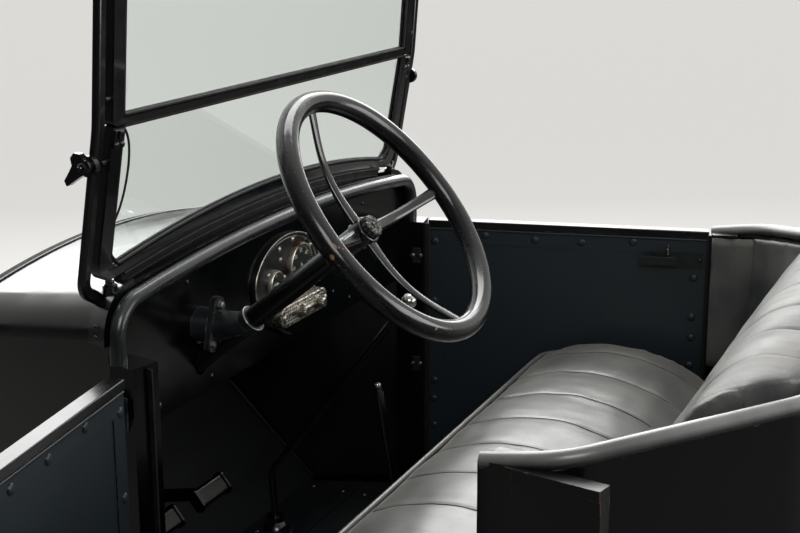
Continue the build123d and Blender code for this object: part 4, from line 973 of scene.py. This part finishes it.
screen = tilted(SCREEN_ORIGIN, LOWER_RAKE)
upper = tilted(screen @ Vector((0, SCREEN_BAR * MM, 0)) / MM, UPPER_RAKE)
inset, upper_edge = OPENING_HALF - STRIP, UPPER_TOP - FRAME_WIDTH - STRIP
lower_loop = [(x, v + STRIP) for x, v in arch(inset - 22, 43, 47)]
lower_loop += [(inset, 22), (inset, SCREEN_BAR - 1), (-inset, SCREEN_BAR - 1), (-inset, 22)]
upper_loop = [(-inset, 11 + STRIP), (inset, 11 + STRIP), (inset, upper_edge), (-inset, upper_edge)]
for name, loop, place in (("lower", lower_loop, screen), ("upper", upper_loop, upper)):
    points = spaced(loop + loop[:1], GLAZING_STEP)
    lines = [[(x, v, glass_side * GLAZING_OUT) for x, v in points] for glass_side in (-1, 1)]
    bar("glazing_" + name, lines, 2.8, rubber, closed=True, place=place)
bar("seal_bead", [[(x, v, -8.4) for x, v in arch(452, 17.5, 38)]], 2.4, rubber, place=screen)
bar("seal_lip", [[(x, v, -8.0) for x, v in arch(446, 5.5, 40)]], 1.8, rubber, place=screen)
DRAUGHT_LINE = (
    (486, 214), (478, 207), (467, 190), (462, 165), (462, 140), (466, 112), (474, 88), (486, 68), (492, 58),
)
bar("draught_strip", [[(x, v, -3) for x, v in DRAUGHT_LINE]], 2.0, rubber, place=screen)
print("screen strips in two planes")

# %% Screen brackets, bolts and clamp washers
CLAMP_OUT, CLAMP_UP = 551 + 18, 166
BOTH = (-1, 1)
TO_FRONT = (0, 0, -1)
plate_v = SCREEN_BAR - 16
bracket = joined(slab(24, 26, 3.2), placed(slab(9, 12, 7, 1.5), shifted(0, 6, 0)))
plates = [screen @ at((sign * (OPENING_HALF + 11), plate_v, -8.5), TO_FRONT) for sign in BOTH]
copies("bar_brackets", bracket, plates, frame_enamel)
heads = [
    screen @ at((sign * (OPENING_HALF + out), plate_v - 9, -11.6), TO_FRONT, turn)
    for sign in BOTH for out, turn in ((4, 50), (18, 15))
]
copies("bar_bracket_screws", screw, heads, frame_enamel)
copies("foot_bolts", bolt, [at((sign * 495, -350, 776), UPRIGHT, 10) for sign in BOTH], frame_enamel)
strap_rivets = [at((sign * 536, -350, z), (sign, 0, 0.06)) for sign in BOTH for z in (708, 724)]
copies("foot_rivets", small_rivet, strap_rivets, frame_enamel)
clamp_nut = joined(
    turned([(8, -0.5), (8, 3), (6.5, 4.5)], steps=6),
    turned([(4, 4), (4, 8), (2.5, 9.4), (0.4, 9.6)], steps=16),
)
clamps = [screen @ at((sign * CLAMP_OUT, CLAMP_UP, 0), (sign, 0, 0)) for sign in BOTH]
copies("clamp_nuts", clamp_nut, clamps, frame_enamel)
print("windscreen dressed")

# %% [markdown]
# ## Scuttle and bulkhead
# The bonnet rests on a webbing laced round the scuttle's front edge. The bulkhead is riveted in, and the
# column passes it in a rubber grommet. The webbing is a flat strip, so a 2D line is extruded across itself.

# %% Webbing and bead
SCUTTLE_FRONT = {"half": 392, "crown": 722, "shoulder": 678, "corner": 62}
SCUTTLE_REAR = {"half": 535.6, "crown": 796, "shoulder": 763, "corner": 66}
BULKHEAD_Y, WEBBING_Y, HEM_Y = -720, -712, -700
ROLL_TURN = math.radians(90 * 0.93)


def scuttle_line(share, lift, low, steps=16):
    """The scuttle's outline as (x, z), from its left side over the top to its right side."""
    size = {key: front + share * (SCUTTLE_REAR[key] - front) for key, front in SCUTTLE_FRONT.items()}
    wide, radius = size["half"] + lift, size["corner"]
    crown, drop = size["crown"] + lift, size["crown"] - size["shoulder"]
    line = [(wide, low), (wide, (low + size["shoulder"] - radius) / 2)]
    top = crown - drop * ((wide - radius) / wide) ** 2
    for i in range(7):
        angle = ROLL_TURN * i / 6
        line.append((wide - radius + radius * math.cos(angle), top - radius + radius * math.sin(angle)))
    edge_x = line[-1][0]
    for x in [edge_x * (1 - i / steps) for i in range(1, steps)]:
        line.append((x, crown - drop * (x / wide) ** 2))
    line.append((0, crown))
    return line + [(-x, z) for x, z in reversed(line[:-1])]


TO_FRONT_FACE = Matrix(((1, 0, 0, 0), (0, 0, -1, 0), (0, 1, 0, 0), (0, 0, 0, 1)))
webbing_line = [(x, z, 0) for x, z in scuttle_line(0.02, 1.2, 300)]
webbing_place = shifted(0, WEBBING_Y, 0) @ TO_FRONT_FACE
bar("bonnet_webbing", [webbing_line], 1.4, webbing, extrude=7, place=webbing_place, flat=True)
hem = [(x, HEM_Y, z) for x, z in scuttle_line(0.055, 1.0, 320)]
bar("scuttle_bead", [hem], 2.2, coach_enamel)
print("webbing points:", len(webbing_line))

# %% Bulkhead rivets, ribs and grommet
RIVET_PITCH = 62
FACING_FRONT = (0, -1, 0)
rivets_round = spaced(scuttle_line(0.0, -34, 110, steps=8), RIVET_PITCH)
rivets_round = [at((x, BULKHEAD_Y, z), FACING_FRONT) for x, z in rivets_round]
copies("bulkhead_rivets", rivet, rivets_round, coach_enamel)
ribs = [[(x, BULKHEAD_Y - 0.5, z) for z in (170, 260, 480, 590)] for x in (-220, -90, 60)]
bar("bulkhead_ribs", ribs, 5, coach_enamel)
grommet = open_ended(turned([(19, 0), (26, 0), (27, 2.5), (25, 5.5), (20, 6), (18.4, 4)], steps=40))
hole = (WHEEL_CENTRE[0], BULKHEAD_Y + 2, WHEEL_CENTRE[2] + BULKHEAD_Y * math.tan(lean))
stretch_up = Matrix.Diagonal((1, 1 / math.cos(lean), 1, 1))
copies("column_grommet", grommet, [at(hole, FACING_FRONT) @ stretch_up], rubber)
print("bulkhead rivets", len(rivets_round))

# %% [markdown]
# Half-round mouldings close the joint where the skin is nailed to the wooden sill. They run along the
# scuttle's sides and round the seat bay.

# %% Lower mouldings
def rounded(corners, radii, steps=8):
    """A line of (x, y) through corners, each but the ends rounded by its radius."""
    line = [corners[0]]
    for before, corner, after, radius in zip(corners, corners[1:], corners[2:], radii):
        here = Vector(corner)
        come, go = (Vector(before) - here).normalized(), (Vector(after) - here).normalized()
        half_angle = come.angle(go) / 2
        centre = here + (come + go).normalized() * radius / math.sin(half_angle)
        start = here + come * radius / math.tan(half_angle) - centre
        turn = start.angle_signed(here + go * radius / math.tan(half_angle) - centre)
        for i in range(steps + 1):
            arm = start.copy()
            arm.rotate(Matrix.Rotation(-turn * i / steps, 2))
            line.append(tuple(centre + arm))
    return line + [corners[-1]]


# The bay's outer face in plan
BAY_CORNERS = [(662, 345), (662, 387.7), (425.2, 662), (-425.2, 662), (-662, 387.7), (-662, 345)]
BAY_RADII = (117, 137, 137, 117)
BAY_MOULDING_Z, SCUTTLE_MOULDING_Z = 98, 76
NAIL_PITCH, NAIL_OUT = 85, 4.4
mouldings = [[(x, y, BAY_MOULDING_Z) for x, y in rounded(BAY_CORNERS, BAY_RADII)]] + [
    [(sign * (393 + 142.6 * s), -718 + 386 * s, SCUTTLE_MOULDING_Z) for s in (0, 0.3, 0.7, 1)]
    for sign in BOTH
]
bar("lower_mouldings", mouldings, 5, coach_enamel)
nail_places = []
for line in mouldings:
    for start, end in zip(line, line[1:]):
        start, along = Vector(start), Vector(end) - Vector(start)
        out = Vector((along.y, -along.x, 0))
        if out.dot(start) <= 0:
            out = -out
        count = int(along.length / NAIL_PITCH)
        for k in range(count):
            place = start + along * (k + 0.5) / count + out.normalized() * NAIL_OUT
            nail_places.append(at(place, out))
copies("moulding_nails", small_rivet, nail_places, black_steel)
print("moulding nails", len(nail_places))

# %% [markdown]
# ## Floor and controls
# The toe board's edge carries a steel strip. Screws hold the planks, and the pedals have ribs across their
# pads for grip. A rubber boot closes the hole round the gear lever, and a button tops the hand brake.

# %% Toe strip and plank screws
FLOOR_TOP = 90
TOE_LINE = [(-372, -671, 312), (-388, -630, 256), (-404, -590, 202), (-424, -545, 141), (-440, -512, 97)]
bar("toe_strip", [TOE_LINE], 1.6, black_steel)
PLANKS, PLANK_PITCH, FIRST_PLANK_Y = 5, 120, -455
plank_heads = [
    at((x, FIRST_PLANK_Y + row * PLANK_PITCH + dy, FLOOR_TOP), UPRIGHT, 30 * row + x)
    for row in range(PLANKS) for x in (-400, -150, 150, 400) for dy in (-35, 35)
]
copies("plank_screws", screw, plank_heads, steel)
print("plank screws:", len(plank_heads))

# %% Pedal ribs, lever boot and brake button
PEDALS = (220, 370)
PAD_LEAN = -52
ribs_at = []
for x in PEDALS:
    tilt = shifted(x, -366, 342) @ Matrix.Rotation(math.radians(PAD_LEAN), 4, "X")
    ribs_at += [tilt @ shifted(0, dy, 8) for dy in (-9, -4.5, 0, 4.5, 9)]
copies("pedal_ribs", slab(74, 2.6, 1.4, 0.6), ribs_at, board_enamel)
GATE_CENTRE, GATE_RADIUS = (0, -362), 38
gate_screws = [
    at((GATE_RADIUS * math.cos(t), GATE_CENTRE[1] + GATE_RADIUS * math.sin(t), 102), UPRIGHT)
    for t in (0.7, 2.3, 3.9, 5.5)
]
copies("gate_screws", screw, gate_screws, steel)
boot = turned([(31, 0), (29, 5), (30.5, 9), (26, 14), (27, 18), (22, 24), (19, 30)], steps=36)
copies("lever_boot", boot, [at((*GATE_CENTRE, 168), UPRIGHT)], rubber)
button = turned([(6.6, 0), (7.4, 1.5), (7.4, 6), (6, 8), (3, 9), (0.4, 9.3)], steps=24)
brake_lean = Vector((0, -55, 322)).normalized()
copies("brake_button", button, [at((-75, -187.2, 459), brake_lean)], polished_steel)
print("floor dressed")

# %% [markdown]
# ## Upholstery
# The bench is black leather, sewn in fore-and-aft pleats over springs and horsehair. A cushion like this
# could be sculpted by hand, but cloth simulation gives honest shapes: the CAD block is remeshed, its seams
# are pinned as the tufting twine holds them, and air pressure fills the pleats between. The seams are pulled
# in afterwards, because the remesh would blur them.

# %% Mesh helpers
def read(mesh):
    """The mesh's points and its normals as arrays."""
    points = np.zeros(len(mesh.vertices) * 3)
    mesh.vertices.foreach_get("co", points)
    normals = np.zeros(len(mesh.vertices) * 3)
    mesh.vertex_normals.foreach_get("vector", normals)
    return points.reshape(-1, 3), normals.reshape(-1, 3)


def write(mesh, points):
    """Puts the points back."""
    mesh.vertices.foreach_set("co", points.ravel())
    mesh.update()


def noise_at(points, scale, shift=(0, 0, 0)):
    """Smooth noise at each point, with its patches set by the scale along each axis."""
    return np.array([noise.noise(Vector([c * s + d for c, s, d in zip(p, scale, shift)])) for p in points])


def smooth_points(mesh, rounds):
    """Evens out the voxel steps."""
    builder = bmesh.new()
    builder.from_mesh(mesh)
    every_axis = {"use_axis_x": True, "use_axis_y": True, "use_axis_z": True}
    for _ in range(rounds):
        bmesh.ops.smooth_vert(builder, verts=builder.verts, factor=0.5, **every_axis)
    builder.to_mesh(mesh)
    builder.free()
    mesh.update()


def block_of(name, node, voxel, shrink, hide):
    """The node's solid remeshed evenly and drawn in along its normals."""
    source = linked(name + "_source", nodes[node].data.copy())
    remesh = source.modifiers.new("remesh", "REMESH")
    remesh.mode = "VOXEL"
    remesh.voxel_size = voxel * MM
    mesh = kept_mesh(source, name)
    mesh.materials.clear()
    mesh.materials.append(hide)
    smooth_points(mesh, 2)
    points, normals = read(mesh)
    write(mesh, points - normals * shrink * MM)
    return linked(name, mesh)


# %% Air pressure
CLOTH_FRAMES = 20


def inflate(pad, held, pressure, cap):
    """Fills a pad with air as cloth, with the held points fixed and no point moved further than cap."""
    group = pad.vertex_groups.new(name="held")
    group.add([int(i) for i in np.flatnonzero(held)], 1.0, "REPLACE")
    cloth = pad.modifiers.new("cloth", "CLOTH")
    cloth.settings.vertex_group_mass = "held"
    cloth.settings.quality = 4
    cloth.settings.use_pressure = True
    cloth.settings.uniform_pressure_force = pressure
    cloth.settings.effector_weights.gravity = 0.0
    cloth.collision_settings.use_collision = False
    cloth.point_cache.frame_start = 1
    cloth.point_cache.frame_end = CLOTH_FRAMES
    scene = bpy.context.scene
    for step in range(1, CLOTH_FRAMES + 1):
        scene.frame_set(step)
    settled = pad.evaluated_get(bpy.context.evaluated_depsgraph_get())
    blown = settled.to_mesh()
    after = np.zeros(len(blown.vertices) * 3)
    blown.vertices.foreach_get("co", after)
    settled.to_mesh_clear()
    before, _ = read(pad.data)
    shift = after.reshape(-1, 3) - before
    far = np.linalg.norm(shift, axis=1)
    shift *= np.minimum(1.0, cap * MM / np.maximum(far, 1e-9))[:, None]
    pad.modifiers.remove(cloth)
    scene.frame_set(1)
    write(pad.data, before + shift)
    return float(np.linalg.norm(shift, axis=1).max() / MM)


# %% Pleated pads
SEAMS = np.array([-465.0, -332, -199, -66, 67, 200, 333, 466])
SEAM_WIDTH = 3.2
PLEAT_REACH = 60
PULL_REACH = 30
THREAD_RADIUS, THREAD_STEP = 0.65, 3
# Metres: where each ray starts, and how far a thread stands out of the leather
RAY_START, THREAD_LIFT = 0.6, 0.0004


def to_seams(points):
    """Each point's distance to every seam, in millimetres."""
    return np.abs(points[:, 0] / MM - SEAMS[:, None])


def sewn_pad(name, node, hide, faces_out, pleat, groove, wrinkle, voxel=8.3, shrink=3, pressure=2.5, cap=5):
    """A pleated pad: remeshed, inflated between its seams, and creased along them."""
    pad = block_of(name, node, voxel, shrink, hide)
    points, normals = read(pad.data)
    sewn = faces_out(points, normals)
    gaps = to_seams(points)
    on_seam = (gaps.min(axis=0) < voxel * 0.5) & (sewn > 0.3)
    points[on_seam, 0] = SEAMS[gaps.argmin(axis=0)][on_seam] * MM
    write(pad.data, points)
    moved = inflate(pad, on_seam | (sewn < 0.05), pressure, cap)
    subdivide = pad.modifiers.new("subdivide", "SUBSURF")
    subdivide.levels = 1
    subdivide.render_levels = 1
    mesh = mesh_of(pad)
    pad.modifiers.remove(subdivide)
    pad.data = mesh
    points, normals = read(mesh)
    sewn = faces_out(points, normals)
    near = to_seams(points).min(axis=0)
    puff = pleat * (1 - (1 - np.clip(near / PLEAT_REACH, 0, 1)) ** 2.4)
    fold = groove * np.exp(-(near / SEAM_WIDTH) ** 2)
    lumps = noise_at(points, (9, 22, 22))
    pulls = noise_at(points, (34, 11, 11), (0, 0, 7)) * np.exp(-near / PULL_REACH)
    lift = (puff - fold + wrinkle * lumps + wrinkle * pulls) * sewn
    write(mesh, points + normals * lift[:, None] * MM)
    mesh.shade_smooth()
    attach(pad, "body")
    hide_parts(node)
    print(name, len(mesh.polygons), "faces, cloth moved", round(moved, 1), "mm")
    return pad


def threads(name, pad, centre, first, last):
    """A dark thread in each seam of a pad, found by rays that fan out in the seam's plane."""
    corners = [v.co for v in pad.data.vertices]
    surface = BVHTree.FromPolygons(corners, [tuple(p.vertices) for p in pad.data.polygons])
    lines = []
    for seam in SEAMS:
        line = []
        for degrees in range(first, last + 1, THREAD_STEP):
            angle = math.radians(degrees)
            way = Vector((0, -math.cos(angle), math.sin(angle)))
            hit = surface.ray_cast(Vector((seam, *centre)) * MM + way * RAY_START, -way)[0]
            if hit is not None:
                line.append(tuple((hit + way * THREAD_LIFT) / MM))
        lines.append(line)
    return bar(name, lines, THREAD_RADIUS, thread)


# %% Seat cushion
def cushion_top(points, normals):
    """1 on the cushion's top and front, fading to 0 on its sides and base."""
    up = np.clip((normals[:, 2] + 0.1) / 0.5, 0, 1)
    front = np.clip((-normals[:, 1] - 0.2) / 0.5, 0, 1) * np.clip((points[:, 2] - 0.325) / 0.04, 0, 1)
    return np.clip(np.maximum(up, front), 0, 1)


cushion = sewn_pad(
    "seat_pad", "seat_cushion", leather, cushion_top, pleat=1.6, groove=1.7, wrinkle=2.2)
threads("seat_threads", cushion, (160, 250), 20, 130)

# %% Seat back
def back_front(points, normals):
    """1 on the back's front face and top roll, fading to 0 on its rear and base."""
    front = np.clip((-normals[:, 1] + 0.05) / 0.5, 0, 1)
    top = np.clip((normals[:, 2] - 0.1) / 0.5, 0, 1)
    return np.clip(np.maximum(front, top), 0, 1)


back_pad = sewn_pad(
    "back_pad", "back_cushion", back_leather, back_front, pleat=2.2, groove=2.1, wrinkle=3.0)
threads("back_threads", back_pad, (463, 511), -40, 122)

# %% [markdown]
# The side trims are thin pads of the same leather, nailed over the bay's walls. They have no pleats, only
# the slack folds of leather that has stretched. The same leather is drawn over the inner faces of the posts
# behind the doors.

# %% Side trims
pad = block_of("side_pads", "side_trims", 5, 1.5, back_leather)
points, normals = read(pad.data)
facing = np.clip(-normals[:, 0] * np.sign(points[:, 0]) - normals[:, 1] * 0.5, 0, 1)
folds = noise_at(points, (9, 9, 16))
deep = noise_at(points, (20, 20, 5), (3, 0, 0))
write(pad.data, points + normals * ((3.0 + 6.0 * folds + 3.0 * deep) * facing)[:, None] * MM)
pad.data.shade_smooth()
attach(pad, "body")
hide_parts("side_trims")
print("side_pads", len(pad.data.polygons), "faces")

# %% Post trims
TRIM_X, TRIM_Y, TRIM_Z = (-57.3, -52.3), (580, 662), (400, 664)
low = Vector((TRIM_X[0], TRIM_Y[0], TRIM_Z[0])) * MM
high = Vector((TRIM_X[1], TRIM_Y[1], TRIM_Z[1])) * MM
middle, size = (low + high) / 2, high - low
for name, frame_of_side in SIDES.items():
    builder = bmesh.new()
    bmesh.ops.create_cube(builder, size=1.0)
    bmesh.ops.subdivide_edges(builder, edges=builder.edges, cuts=15, use_grid_fill=True)
    for vertex in builder.verts:
        cube = vertex.co.copy()
        local = middle + cube * size
        slack = 4.5 * noise.noise(Vector((3, local.y * 22, local.z * 9))) + noise.noise(local * 60)
        rounding = max(0, -0.44 - cube.y) * 40 + max(0, abs(cube.z) - 0.48) * 60 + max(0, cube.y - 0.1) * 11
        if cube.x < 0:
            local.x += (rounding - slack) * MM
        vertex.co = frame_of_side @ local
    bmesh.ops.recalc_face_normals(builder, faces=builder.faces)
    mesh = bpy.data.meshes.new(name + "_post_trim")
    builder.to_mesh(mesh)
    builder.free()
    trim = shown(name + "_post_trim", mesh, back_leather, "body")
print("post trims on both sides")

# %% [markdown]
# Piping hides the seam where the cushion's top is sewn to its front. It follows the cushion's front edge
# round both corners, and rises along the sides.

# %% Piping
PIPING_Z, PIPING_RADIUS = 411, 4.5
BEND, BEND_X, BEND_Y = 45, 495, 23


def bend(sign, first, lifts):
    """The piping round one front corner of the cushion."""
    turns = [math.radians(first + 15 * i) for i in range(7)]
    return [(sign * BEND_X + BEND * math.cos(t), BEND_Y + BEND * math.sin(t), PIPING_Z + lift)
            for t, lift in zip(turns, lifts)]


front_line = [(-538, 120, PIPING_Z + 18), (-538, 60, PIPING_Z + 12)]
front_line += bend(-1, 180, [3 - i / 2 for i in range(7)])
front_line += [(x, -23, PIPING_Z) for x in range(-440, 441, 40)]
front_line += bend(1, 270, [i / 2 for i in range(7)])
front_line += [(538, 60, PIPING_Z + 12), (538, 120, PIPING_Z + 18)]
bar("seat_piping", [front_line], PIPING_RADIUS, leather)
print("piping points", len(front_line))

# %% [markdown]
# ## Size of the dressed model
# Its box is printed. Soft pads may stand a little proud of the CAD model's box.

# %% Sizes and finish
low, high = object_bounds()
print("box", [round(v, 3) for v in high - low])
